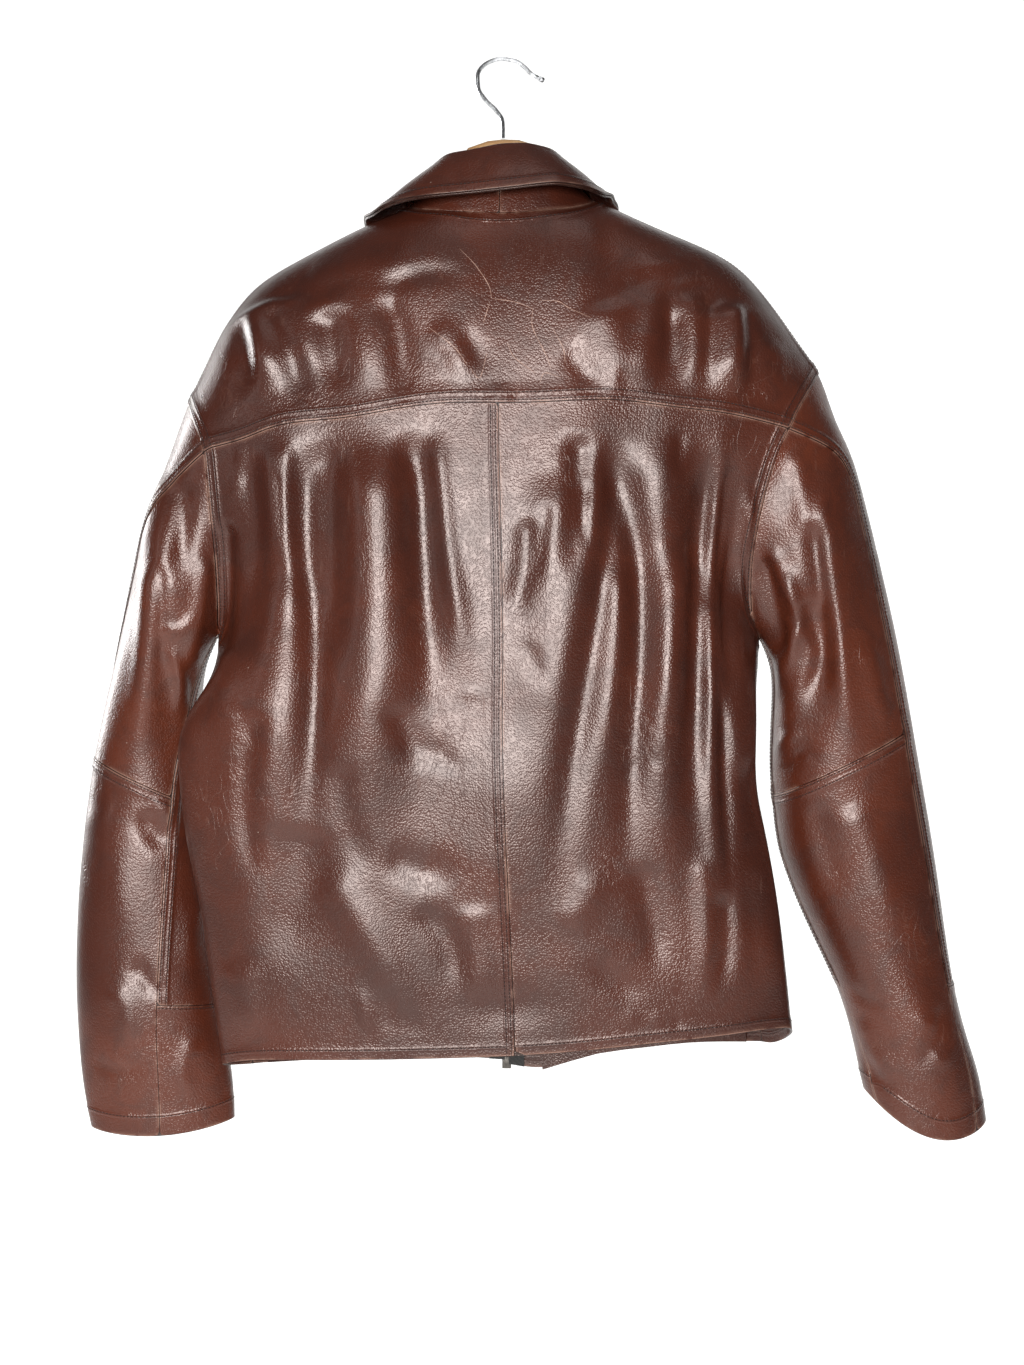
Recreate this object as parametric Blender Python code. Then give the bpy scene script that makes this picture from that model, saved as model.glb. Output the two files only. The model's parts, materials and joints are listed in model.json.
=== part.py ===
"""Worn brown leather jacket on a wooden hanger, modelled hanging, back towards -Y.

Lengths below are in millimetres, and the meshes are in metres with +Z up. The origin is the
inside top of the hanger's hook. The outer face of every leather panel is a grid of points on
one shared surface, so that neighbours meet at the same seam points. A panel is that grid, drawn
back a little from its seams and given the thickness of the leather.
"""

import math

import bpy
import numpy as np
from mathutils.bvhtree import BVHTree

MM = 0.001
LEATHER = 2.0
COLLAR_LEATHER = 1.6
SEAM_DRAW = 0.17
CORNER_DRAW = 0.25
ARMPIT_DRAW = 0.6
ARMPIT_WALL = 0.55
SAME_POINT = 0.05
LAYER_GAP = 0.4

# Grid counts: columns across half of the back, rows down each stretch
NECK_COLS = 5
SHOULDER_COLS = 9
NECKLINE_COLS = 4
YOKE_ROWS = 6
ARMHOLE_ROWS = 8
SKIRT_ROWS = 12
SLEEVE_ROWS = 20
STAND_ROWS = 3

# Back of the body. The side -1 is at -X, the wearer's left, and +1 is at +X.
CENTRE_BACK_X = [(-145, -3), (-317, -3), (-433, 0), (-587, 3), (-699, 6), (-755, 8), (-841, 11)]
CENTRE_BACK_Y = [(-145, -53), (-200, -66), (-260, -77), (-317, -82), (-420, -85),
                 (-550, -83), (-700, -76), (-850, -68)]
YOKE_SEAM_Z = [(-251, -341), (-219, -338), (-182, -328), (-125, -325.5), (-70, -316),
               (-43, -313), (15, -313), (89, -311), (143, -315.5), (197, -319), (240, -323)]
BACK_HEM_Z = [(-240, -875), (-223, -875), (-195, -873), (-145, -865), (-103, -859),
              (-52, -857), (-6, -854), (37, -844), (87, -837), (114, -834), (142, -834),
              (165, -837.5), (196, -848), (215, -855), (231, -857), (247, -855)]
NECK_SEAM = {
    -1: [(-3, -53, -145), (-45, -48, -141.5), (-68, -38, -138.5), (-80, -22, -133), (-84, 2, -127)],
    1: [(-3, -53, -145), (47, -50, -141), (68, -40, -136), (78, -22, -128), (80, 2, -120)],
}
SHOULDER = {
    -1: [(-84, 2, -127), (-128, 2, -147), (-179, 2, -173), (-211, 2, -190.5), (-228, 2, -208),
         (-250, 2, -243), (-265, 2, -277.5), (-275, 2, -295)],
    1: [(80, 2, -120), (118, 2, -138), (162, 2, -156), (200, 2, -173), (218, 2, -190.5),
        (245, 2, -225), (262, 2, -250), (277, 2, -269)],
}
BACK_ARMHOLE = {
    -1: [(-251, -46, -341), (-249, -43, -372), (-247, -36, -405), (-245, -25, -442),
         (-245, -10, -478), (-248, 8, -498)],
    1: [(240, -50, -323), (228, -48, -347), (220, -44, -376), (213.5, -36, -408),
        (210, -24, -442), (213, -8, -476), (224, 10, -502)],
}
# Widest outline of the body below the armpit: height, distance from x = 0, depth of that edge
BODY_EDGE = {
    -1: [(-498, 248, 4), (-525, 256, -10), (-558, 271, -22), (-592, 280, -26), (-624, 278, -26),
         (-680, 272, -25), (-717, 264, -24), (-750, 258, -24), (-799, 252, -22), (-875, 241, -18)],
    1: [(-502, 224, 6), (-525, 221, -6), (-558, 219, -18), (-592, 217, -22), (-640, 217, -24),
        (-686, 226, -25), (-743, 236, -25), (-800, 243, -24), (-855, 249, -20)],
}
BACK_ROUNDNESS = 2.7
FRONT_ROUNDNESS = 2.0
SIDE_SEAM_TURN = 0.42
YOKE_FLATNESS = 3.4
ARMPIT_Z = -500
# Shares: of a column's length above the armpit, and of the half width where folds fade out
ARMHOLE_SHARE = 0.315
FOLDS_END = (0.76, 0.95)
ZIP_CLEAR = 0.08
# How sharply the columns bend to the outer edge's depth, and the front's hem to its corner
EDGE_PULL = 5
HEM_PULL = 8
FOLD_RUN_IN = (-0.15, 0.2, 0.25)

# Front of the body, hidden against the wall in use
FRONT_ARMHOLE = {
    -1: [(-258, 34, -336), (-248, 46, -380), (-243, 46, -430), (-244, 32, -474), (-248, 8, -498)],
    1: [(247, 36, -322), (232, 50, -368), (222, 50, -420), (219, 36, -470), (224, 10, -502)],
}
NECKLINE = {
    -1: [(-8, 60, -207), (-34, 54, -194), (-62, 42, -171), (-80, 24, -145), (-84, 2, -127)],
    1: [(4, 60, -205), (30, 54, -190), (60, 42, -166), (77, 24, -139), (80, 2, -120)],
}
FRONT_EDGE_X = {-1: [(-205, -8), (-880, -3)], 1: [(-205, 4), (-885, 9)]}
FRONT_EDGE_Y = [(-205, 60), (-330, 64), (-500, 68), (-700, 67), (-880, 63)]
FRONT_HEM_Z = {
    -1: [(3, -880), (60, -876), (150, -876), (236, -874)],
    1: [(9, -885), (18, -892), (47, -883), (77, -873), (107, -868), (164, -860), (246, -855)],
}
CHEST_LINE_Z = -330
BODY_CENTRE = (0, 0, -420)
NECK_MIDDLE_Y = 12
# Slope of the yoke at its top, in degrees below level: centre back, neck point, shoulder's tip
TOP_SLOPE = {"middle": 64, "neck": 8, "tip": 30}
# How strongly the yoke's columns leave the shoulder and reach the chest line, and row spacing
TOP_PULL = 2.4
BOTTOM_DEPTH = (0.1, 0.3)
BOTTOM_PULL = (1.7, 0.4)
YOKE_SPACING = 1.1

# Sleeves: outer line, inner line (x, z), middle depth and half depth of each ring, and the
# angles of the shoulder line, the back seam and the inner seam round it
SLEEVE_RINGS = {
    -1: [
        ((-306, -377), (-264, -538), 16, 62, -12, 34, 165),
        ((-329, -460), (-268, -578), 28, 56, -30, 24, 148),
        ((-348, -538), (-268, -612), 34, 51, -55, -4, 135),
        ((-363, -606), (-267, -650), 36, 48, -75, -20, 125),
        ((-373, -680), (-261, -705), 36, 46, -85, -26, 117),
        ((-378, -745), (-257, -762), 35, 45, -88, -28, 111),
        ((-379, -803), (-251, -815), 33, 43, -90, -30, 105),
        ((-376.5, -850), (-246, -852), 31, 38, -90, -30, 100),
        ((-372, -895), (-238, -893), 28, 31, -90, -30, 96),
        ((-364, -931), (-237, -924), 26, 26, -90, -30, 92),
    ],
    1: [
        ((299, -327), (236, -534), 12, 64, -12, 35, 172),
        ((318, -385), (237, -564), 18, 62, -22, 37, 176),
        ((333, -445), (236, -590), 20, 60, -28, 38, 178),
        ((347, -505), (236, -614), 22, 58, -30, 38, 180),
        ((361, -580), (238, -638), 25, 56, -32, 37, 180),
        ((370, -630), (242, -678), 27, 54, -33, 36, 179),
        ((381, -695), (253, -714), 27, 52, -34, 36, 177),
        ((389, -755), (270, -755), 26, 50, -34, 35, 173),
        ((396, -803), (291, -800), 24, 47, -34, 35, 168),
        ((409, -856), (306, -845), 22, 44, -34, 36, 160),
        ((419, -880), (312, -880), 20, 40, -34, 38, 153),
        ((424, -915), (317, -905), 18, 36, -34, 40, 148),
    ],
}
ELBOW_RING = {-1: 4, 1: 5}
CROSS_SEAM_ROW = 16
ELBOW_ROW = 9
CUFF_DROP = {-1: (8, 0), 1: (24, 8)}
CUFF_START = 0.9

# Collar: fold line and free edge of the fall, from the centre back to the front end
FOLD_LINE = {
    -1: [(-3, -34, -81), (-24, -33, -85.5), (-45, -28, -87), (-60, -12, -94), (-70, 12, -110),
         (-68, 36, -136), (-46, 54, -164), (-15, 62, -184)],
    1: [(-3, -34, -81), (15, -34, -80), (36, -30, -81.5), (52, -14, -90), (66, 12, -104),
        (64, 36, -131), (42, 54, -160), (11, 62, -182)],
}
FALL_EDGE = {
    -1: [(-3, -67, -127), (-36, -65, -130), (-78, -56, -132), (-100, -45, -135),
         (-113, -25, -138), (-120, 2, -139), (-120, 30, -152), (-110, 58, -185), (-86, 76, -238)],
    1: [(-3, -67, -127), (20, -67, -124.5), (41, -65, -121.5), (62, -58, -121.5),
        (77, -45, -122), (89, -25, -123), (96, 2, -124), (100, 30, -142), (96, 58, -178),
        (80, 76, -232)],
}

# Largest folds of the back: x and z of the two ends, half width, height, outwards positive
BACK_FOLDS = [
    (-192, -340, -205, -800, 26, 5),
    (-143, -330, -150, -760, 18, -4),
    (-108, -330, -98, -820, 24, 5),
    (-66, -325, -72, -700, 16, -4),
    (-32, -325, -34, -800, 16, 3),
    (60, -320, 72, -830, 26, 5),
    (112, -330, 118, -800, 20, -4),
    (160, -330, 164, -760, 16, -6),
    (184, -330, 187, -800, 15, 4),
    (120, -200, 160, -300, 26, 3),
    (-150, -220, -120, -310, 24, 3),
]
FRONT_FOLDS = [
    (-150, -340, -140, -840, 30, 5),
    (-80, -360, -84, -800, 24, -4),
    (96, -350, 90, -820, 28, -4),
    (160, -340, 150, -840, 28, 5),
]
# Lengthwise folds of a sleeve: angle, first and last share of the length, half width, height
SLEEVE_FOLDS = {
    -1: [(108, 0.02, 0.48, 22, -8), (68, 0.10, 0.50, 18, 4), (60, 0.75, 0.98, 20, 3)],
    1: [(120, 0.02, 0.46, 22, -9), (82, 0.10, 0.46, 18, 4), (70, 0.80, 0.98, 18, 3)],
}

# Wooden hanger and its hook
HANGER_HUMP = {
    -1: [(13, -68.8), (31, -75), (44, -92), (53, -112), (65, -127)],
    1: [(14, -68.0), (31, -73), (42, -88), (51, -106), (62, -120.5)],
}
HANGER_CENTRE = (0.0, 0.0, -67.5)
HANGER_END_COLS = 5
HANGER_WIDTHS = (17, 14)
HANGER_HEIGHTS = (30, 22, 17)
HANGER_HEIGHTS_AT = (0, 0.35, 1)
HANGER_SIDES = 10
CLOTH_TO_HANGER = 1.4
HANGER_Y = 2.0
WIRE = 3.9
WIRE_SIDES = 8
HOOK_POINTS = 46
HOOK_ROUTE = [(0, -67.2), (0, -60), (-0.5, -52), (-6, -43), (-15, -34), (-21.5, -23), (-22, -12),
              (-15, -2.5), (-2, 1.95), (11, 0), (19, -5.5), (25, -11.5), (30.5, -14.5)]
HOOK_TIP = [(0.0, 1.0), (0.5, 0.8), (1.6, 1.25), (3.4, 1.4), (5.0, 1.2), (6.0, 0.7)]

# Collar layers
ROLL_RADIUS = 4.2
ROLL_DROP = 3.6
ROLL_IN = 0.8
INNER_LEG_SHARE = 0.45
FALL_ROWS = 4
FALL_BULGE = 3.0
STAND_BULGE = 3
STAND_FLAT = 40
FALL_CLEAR = 5.4

# Zip: tapes behind the front edges, chain between them, slider at the top, box at the hem
TAPE_INSIDE = 10.0
TAPE_OUTSIDE = 4.0
TAPE = 0.8
CHAIN_WIDTH = 5.0
CHAIN_DEPTH = 2.2
CHAIN_TOP_Z = -237.0
BOX_SIZE = (8.0, 3.4, 11.0)
BOX_BOTTOM_Z = -888.5
PART_GAP = 0.3
SLIDER = (8.6, 3.4, 12.0)
BRIDGE = (2.0, 3.6, 8.4)
BRIDGE_BAR = 1.1
TAB = (7.0, 1.2, 27.0)
TAB_BAR = 1.4
TAB_SLOT = (3.6, 8.0)
FACING = 1.0


def smooth(knots, values, at):
    """Values at the given places on a smooth line through the knots, with no overshoot."""
    k = np.asarray(knots, float)
    v = np.asarray(values, float).reshape(len(k), -1)
    step = np.diff(k)[:, None]
    slope = np.diff(v, axis=0) / step
    tangent = np.zeros_like(v)
    same = slope[:-1] * slope[1:] > 0
    mean = 2 * slope[:-1] * slope[1:] / np.where(same, slope[:-1] + slope[1:], 1)
    tangent[1:-1] = np.where(same, mean, 0)
    tangent[0], tangent[-1] = slope[0], slope[-1]
    t = np.clip(np.atleast_1d(np.asarray(at, float)), k[0], k[-1])
    i = np.clip(np.searchsorted(k, t, side="right") - 1, 0, len(k) - 2)
    h = step[i]
    u = ((t - k[i]) / h[:, 0])[:, None]
    return (v[i] * (1 + 2 * u) * (1 - u) ** 2 + tangent[i] * h * u * (1 - u) ** 2
            + v[i + 1] * u ** 2 * (3 - 2 * u) - tangent[i + 1] * h * u ** 2 * (1 - u))


def by_height(rows, z):
    """One column of a table whose first column is a height that falls down the list."""
    table = np.asarray(rows, float)[::-1]
    return smooth(table[:, 0], table[:, 1:], np.ravel(z))


def by_x(rows, x):
    """The second column of a table at the given x."""
    table = np.asarray(rows, float)
    return smooth(table[:, 0], table[:, 1], np.ravel(x))[:, 0]


def along(points, count, power=1.0):
    """Points spread evenly along a smooth curve through the given ones, ends included."""
    p = np.asarray(points, float)
    run = np.concatenate([[0], np.cumsum(np.linalg.norm(np.diff(p, axis=0), axis=1))])
    return smooth(run, p, run[-1] * np.linspace(0, 1, count + 1) ** power)


def step_up(value, start, end):
    """A smooth step from 0 at start to 1 at end."""
    u = np.clip((np.asarray(value, float) - start) / (end - start), 0, 1)
    return u * u * (3 - 2 * u)


def fold_height(folds, x, z):
    """Summed height of the straight folds at points given by x and z."""
    total = np.zeros_like(x)
    for x0, z0, x1, z1, width, height in folds:
        run = np.array([x1 - x0, z1 - z0], float)
        length = np.linalg.norm(run)
        run /= length
        place = ((x - x0) * run[0] + (z - z0) * run[1]) / length
        side = (x - x0) * run[1] - (z - z0) * run[0]
        before, top, bottom = FOLD_RUN_IN
        fade = step_up(place, before, top) * step_up(1 - place, before, bottom)
        total += height * np.exp(-((side / width) ** 2)) * fade
    return total


def column_shares(first, last):
    """Shares of the half width at the columns, tighter towards the edge."""
    s = np.linspace(0, 1, first + last + 1)
    return 1 - (1 - s) ** 1.25


def seam_turn(row):
    """How far round to the front the side seam lies, at a row counted from the armpit."""
    return SIDE_SEAM_TURN * float(step_up(row, 0, 4))


def hull_section(side, z, share, middle, facing, turn):
    """Points of the body's ring below the armpit, from the middle to the side seam."""
    edge_x, edge_y = by_height(BODY_EDGE[side], z)[0]
    edge_x *= side
    if facing < 0:
        angle = share * (math.pi / 2 + turn)
    else:
        angle = share * (math.pi / 2 - turn)
    over = angle > math.pi / 2
    power = 2 / (BACK_ROUNDNESS if facing < 0 else FRONT_ROUNDNESS)
    lean = np.where(over, math.pi - angle, angle)
    front_depth = by_height(FRONT_EDGE_Y, z)[0, 0] - edge_y
    across = np.sin(lean) ** np.where(over, 2 / FRONT_ROUNDNESS, power)
    depth = np.abs(np.cos(lean)) ** np.where(over, 2 / FRONT_ROUNDNESS, power)
    x = middle[0] + (edge_x - middle[0]) * across
    y = edge_y + (middle[1] - edge_y) * depth
    y = np.where(over, edge_y + front_depth * depth, y)
    return x, y


def flat_section(share, middle, end):
    """Points of the body's section above the armpit, from the middle to the armhole."""
    x = middle[0] + (end[0] - middle[0]) * share
    y = end[1] + (middle[1] - end[1]) * (1 - share ** YOKE_FLATNESS)
    return x, y


def side_seam_point(side, z, row):
    """The side seam's point at a height and row below the armpit."""
    middle = (0.0, by_height(FRONT_EDGE_Y, z)[0, 0])
    x, y = hull_section(side, z, np.array([1.0]), middle, 1, seam_turn(row))
    return np.array([x[0], y[0], z])


def edge_points(side, facing):
    """Points of a body panel's outer edge: armhole from the yoke's height, then side seam."""
    armhole = along((BACK_ARMHOLE if facing < 0 else FRONT_ARMHOLE)[side], ARMHOLE_ROWS)
    armpit = armhole[-1]
    hem = by_x(BACK_HEM_Z, [side * 250.0])[0]
    heights = armpit[2] + (hem - armpit[2]) * np.linspace(0, 1, SKIRT_ROWS + 1)[1:]
    seam = [side_seam_point(side, z, row) for row, z in enumerate(heights, 1)]
    blend = step_up(np.arange(1, SKIRT_ROWS + 1), 0, 3)[:, None]
    drop = np.array([[armpit[0], armpit[1], z] for z in heights])
    return np.vstack([armhole, drop * (1 - blend) + np.array(seam) * blend])


def lower_panel(side, facing):
    """Outer grid of a body panel from the yoke's height down to the hem."""
    back = facing < 0
    cols = NECK_COLS + SHOULDER_COLS if back else NECKLINE_COLS + SHOULDER_COLS
    share = column_shares(cols, 0)
    edge = edge_points(side, facing)
    rows = len(edge)
    if back:
        top_z = by_x(YOKE_SEAM_Z, share * edge[0, 0])
        hem_z = by_x(BACK_HEM_Z, share * edge[-1, 0])
    else:
        top_z = CHEST_LINE_Z + (edge[0, 2] - CHEST_LINE_Z) * share ** 2
        hem_z = by_x(FRONT_HEM_Z[side], np.abs(share * edge[-1, 0]) + FRONT_HEM_Z[side][0][0])
        hem_z += (edge[-1, 2] - hem_z[-1]) * share ** HEM_PULL
    level = (edge[:, 2] - edge[0, 2]) / (edge[-1, 2] - edge[0, 2])
    plain = np.concatenate([np.linspace(0, ARMHOLE_SHARE, ARMHOLE_ROWS + 1),
                            np.linspace(ARMHOLE_SHARE, 1, SKIRT_ROWS + 1)[1:]])
    grid = np.zeros((rows, cols + 1, 3))
    for r in range(rows):
        tau = plain[r] + (level[r] - plain[r]) * share ** 2
        z = top_z + (hem_z - top_z) * tau
        if back:
            middle = (by_height(CENTRE_BACK_X, z[0])[0, 0], by_height(CENTRE_BACK_Y, z[0])[0, 0])
        else:
            middle = (by_height(FRONT_EDGE_X[side], z[0])[0, 0],
                      by_height(FRONT_EDGE_Y, z[0])[0, 0])
        flat_x, flat_y = flat_section(share, middle, edge[r])
        ring_x, ring_y = hull_section(side, min(edge[r, 2], ARMPIT_Z), share, middle, facing,
                                      seam_turn(r - ARMHOLE_ROWS))
        tuck = min(1.0, abs(edge[r, 0]) / np.abs(ring_x).max())
        ring_x *= tuck + (1 - tuck) * step_up(r, ARMHOLE_ROWS, ARMHOLE_ROWS + 3)
        weight = step_up(r, ARMHOLE_ROWS - 5, ARMHOLE_ROWS + 3)
        x = flat_x * (1 - weight) + ring_x * weight
        y = flat_y * (1 - weight) + ring_y * weight
        x += (edge[r, 0] - x[-1]) * share ** EDGE_PULL
        y += (edge[r, 1] - y[-1]) * share ** EDGE_PULL
        z[-1] = edge[r, 2]
        grid[r] = np.stack([x, y, z], axis=1)
    folds = fold_height(BACK_FOLDS if back else FRONT_FOLDS, grid[..., 0], grid[..., 2])
    fade = 1 - step_up(share, *FOLDS_END)
    fade = fade * step_up(share, 0, ZIP_CLEAR) if not back else fade
    grid[..., 1] += facing * folds * fade
    return grid


def top_edge(side, facing):
    """Neck seam or neckline, then the shoulder seam, from the middle to the shoulder's tip."""
    if facing < 0:
        neck = along(NECK_SEAM[side], NECK_COLS)
    else:
        neck = along(NECKLINE[side], NECKLINE_COLS)
    return np.vstack([neck, along(SHOULDER[side], SHOULDER_COLS)[1:]])


def upper_panel(side, facing, bottom):
    """Outer grid from the shoulder seam down to the given bottom row."""
    top = top_edge(side, facing)
    neck = NECK_COLS if facing < 0 else NECKLINE_COLS
    column = np.arange(len(top))
    slope = smooth([0, neck, len(top) - 1], list(TOP_SLOPE.values()), column)[:, 0]
    slope = np.radians(slope)
    deep = np.abs(bottom[:, 1] - top[:, 1])
    fall = top[:, 2] - bottom[:, 2]
    tip = step_up(column, len(top) - 5, len(top) - 1)
    start = np.stack([bottom[:, 0] - top[:, 0], facing * TOP_PULL * deep * np.cos(slope),
                      -TOP_PULL * deep * np.sin(slope)], axis=1)
    end = np.stack([bottom[:, 0] - top[:, 0],
                    facing * (BOTTOM_DEPTH[0] + BOTTOM_DEPTH[1] * tip) * deep,
                    -(BOTTOM_PULL[0] - BOTTOM_PULL[1] * tip) * fall], axis=1)
    grid = np.zeros((YOKE_ROWS + 1, len(top), 3))
    for r in range(YOKE_ROWS + 1):
        v = (r / YOKE_ROWS) ** YOKE_SPACING
        grid[r] = (top * (1 + 2 * v) * (1 - v) ** 2 + start * v * (1 - v) ** 2
                   + bottom * v ** 2 * (3 - 2 * v) - end * v ** 2 * (1 - v))
    if facing < 0:
        inside = np.sin(np.pi * np.linspace(0, 1, YOKE_ROWS + 1))[:, None]
        bump = fold_height(BACK_FOLDS[-2:], grid[..., 0], grid[..., 2])
        grid[..., 1] -= bump * inside * (1 - step_up(column, len(top) - 4, len(top) - 1))
    return grid


def body_grids(side):
    """Outer grids of the back, the front and the yoke's half on one side."""
    back = lower_panel(side, -1)
    yoke = upper_panel(side, -1, back[0])
    front = lower_panel(side, 1)
    front = np.vstack([upper_panel(side, 1, front[0])[:-1], front])
    return back, yoke, front


def armhole_loop(back, yoke, front):
    """The armhole's points: from the shoulder's tip down the back and up the front."""
    front_edge = front[:YOKE_ROWS + ARMHOLE_ROWS + 1, -1]
    return np.vstack([yoke[:-1, -1], back[:ARMHOLE_ROWS + 1, -1], front_edge[::-1][1:]])


def ring_angles(tip, seam, inner):
    """Angle of each of the sleeve's columns round one ring, in radians."""
    return np.radians(np.concatenate([
        np.linspace(tip, seam, YOKE_ROWS + 1),
        np.linspace(seam, inner, ARMHOLE_ROWS + 1)[1:],
        np.linspace(inner, tip + 360, YOKE_ROWS + ARMHOLE_ROWS + 1)[1:],
    ]))


def ring_points(ring):
    """Points of one of the sleeve's rings."""
    outer, inner, depth, half, tip, seam, under = ring
    angle = ring_angles(tip, seam, under)
    middle = np.array([(outer[0] + inner[0]) / 2, (outer[1] + inner[1]) / 2])
    reach = np.array([(outer[0] - inner[0]) / 2, (outer[1] - inner[1]) / 2])
    return np.stack([middle[0] + reach[0] * np.cos(angle),
                     depth - half * np.sin(angle),
                     middle[1] + reach[1] * np.cos(angle)], axis=1)


def sleeve_grid(side, loop):
    """Outer grid of a sleeve, rows from the armhole to the cuff, columns round it."""
    rings = [loop] + [ring_points(r) for r in SLEEVE_RINGS[side]]
    rings = np.array(rings)
    middles = rings[:, :-1].mean(axis=1)
    run = np.concatenate([[0], np.cumsum(np.linalg.norm(np.diff(middles, axis=0), axis=1))])
    elbow = run[ELBOW_RING[side]]
    places = np.concatenate([np.linspace(0, elbow, ELBOW_ROW + 1),
                             np.linspace(elbow, run[-1], SLEEVE_ROWS - ELBOW_ROW + 1)[1:]])
    flat = smooth(run, rings.reshape(len(rings), -1), places)
    grid = flat.reshape(len(places), -1, 3)
    grid[0] = loop
    share = places / run[-1]
    folds = sleeve_folds(side, grid, share)
    centre = grid[:, :-1].mean(axis=1)[:, None, :]
    out = grid - centre
    out /= np.linalg.norm(out, axis=2)[..., None]
    grid[1:] += (out * folds[..., None])[1:]
    drop, lean = CUFF_DROP[side]
    ease = step_up(share, CUFF_START, 1.0)[:, None]
    last = ring_angles(*SLEEVE_RINGS[side][-1][4:])
    hang = drop * np.maximum(np.sin(last), 0) ** 2 + lean * np.cos(last)
    grid[..., 2] -= ease * hang
    grid[:, -1] = grid[:, 0]
    return grid


def sleeve_folds(side, grid, share):
    """Height of a sleeve's lengthwise folds at its grid points."""
    knots = np.linspace(0, 1, len(SLEEVE_RINGS[side]) + 1)
    rows = [SLEEVE_RINGS[side][0][4:]] + [r[4:] for r in SLEEVE_RINGS[side]]
    spread = smooth(knots, np.array(rows, float), share)
    angles = np.degrees(np.array([ring_angles(*row) for row in spread]))
    total = np.zeros(grid.shape[:2])
    for centre, first, last, width, height in SLEEVE_FOLDS[side]:
        middle, half = (first + last) / 2, (last - first) / 2
        fade = step_up(1 - np.abs(share - middle) / half, 0, 0.6)[:, None]
        total += height * np.exp(-(((angles - centre) / width) ** 2)) * fade
    return total


def neck_loop(yoke, front):
    """Half of the neck seam: from the centre back round to the front edge."""
    return np.vstack([yoke[0, :NECK_COLS + 1], front[0, :NECKLINE_COLS][::-1]])


def fold_frame(fold, seam):
    """Outward and upward unit directions at the collar's fold, square to it, along the stand."""
    run = np.gradient(fold, axis=0)
    run[0] = (1, 0, 0)
    run /= np.linalg.norm(run, axis=1)[:, None]
    lean = fold - seam
    up = lean - run * np.sum(lean * run, axis=1)[:, None]
    up /= np.linalg.norm(up, axis=1)[:, None]
    out = np.cross(run, up)
    away = (fold - (0, NECK_MIDDLE_Y, 0)) * (1, 1, 0)
    out *= np.sign(np.sum(out * away, axis=1))[:, None]
    return out, up


def stand_grid(side, seam):
    """Outer grid of half the collar's stand, from the neck seam up to just under the fold."""
    fold = along(FOLD_LINE[side], len(seam) - 1)
    _, up = fold_frame(fold, seam)
    crown = fold - up * (COLLAR_LEATHER + LAYER_GAP)
    grid = np.zeros((STAND_ROWS + 1, len(seam), 3))
    for r in range(STAND_ROWS + 1):
        v = r / STAND_ROWS
        grid[r] = seam + (crown - seam) * v
        grid[r, :, 1] -= STAND_BULGE * math.sin(math.pi * v) * step_up(-seam[:, 1], 0, STAND_FLAT)
    return grid


class Panel:
    """A leather panel: a name, an outer grid that faces away from its centre, and a material."""

    def __init__(self, name, grid, centre, finish, thickness=LEATHER):
        self.name = name
        self.grid = grid.copy()
        self.finish = finish
        self.thickness = thickness
        self.normal = grid_normals(self.grid)
        if np.sum((grid - centre) * self.normal) < 0:
            self.grid = grid[:, ::-1].copy()
            self.normal = grid_normals(self.grid)

    def inward(self, r, c):
        """Direction from an edge point into the panel, and whether the point is a corner."""
        rows, cols = self.grid.shape[:2]
        step_r = 1 if r == 0 else -1 if r == rows - 1 else 0
        step_c = 1 if c == 0 else -1 if c == cols - 1 else 0
        run = self.grid[r + step_r, c + step_c] - self.grid[r, c]
        return run / np.linalg.norm(run), bool(step_r and step_c)

    def edge(self):
        """Row and column of every point on the panel's edge."""
        rows, cols = self.grid.shape[:2]
        for r in range(rows):
            for c in range(cols):
                if r in (0, rows - 1) or c in (0, cols - 1):
                    yield r, c


def grid_normals(grid):
    """Unit normals of a grid, pointing to the side from which its rows and columns turn left."""
    down = np.gradient(grid, axis=0)
    across = np.gradient(grid, axis=1)
    normal = np.cross(down, across)
    size = np.linalg.norm(normal, axis=2)
    return normal / np.maximum(size, 1e-9)[..., None]


def join_seams(panels):
    """Share the normals along seams and draw the panels apart there."""
    spots = [(panel, r, c) for panel in panels for r, c in panel.edge()]
    where = np.array([panel.grid[r, c] for panel, r, c in spots])
    moves = []
    for i, spot in enumerate(where):
        together = np.flatnonzero(np.linalg.norm(where - spot, axis=1) < SAME_POINT)
        if together[0] < i:
            continue
        places = [spots[j] for j in together]
        if len({p.name for p, _, _ in places}) < 2:
            continue
        into = [p.inward(r, c) for p, r, c in places]
        total = np.mean([p.normal[r, c] for p, r, c in places], axis=0)
        crotch = 1 - np.linalg.norm(total)
        total = total + crotch ** 2 * 2 * np.mean([d for d, _ in into], axis=0)
        total /= np.linalg.norm(total)
        armpit = len(places) > 3
        if armpit:
            total *= ARMPIT_WALL
        for k, (panel, r, c) in enumerate(places):
            others = [d for j, (d, _) in enumerate(into) if j != k]
            apart = into[k][0] - np.mean(others, axis=0)
            apart /= max(np.linalg.norm(apart), 1e-9)
            draw = CORNER_DRAW if into[k][1] or len(places) > 2 else SEAM_DRAW
            draw = ARMPIT_DRAW if armpit else draw
            moves.append((panel, r, c, apart * draw, total))
    for panel, r, c, move, normal in moves:
        panel.grid[r, c] += move
        panel.normal[r, c] = normal


def finish_material(name, colour, roughness, metallic=0.0):
    """A plain material for one kind of piece."""
    material = bpy.data.materials.new(name)
    material.use_nodes = True
    shader = material.node_tree.nodes["Principled BSDF"]
    shader.inputs["Base Color"].default_value = (*colour, 1.0)
    shader.inputs["Roughness"].default_value = roughness
    shader.inputs["Metallic"].default_value = metallic
    return material


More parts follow.
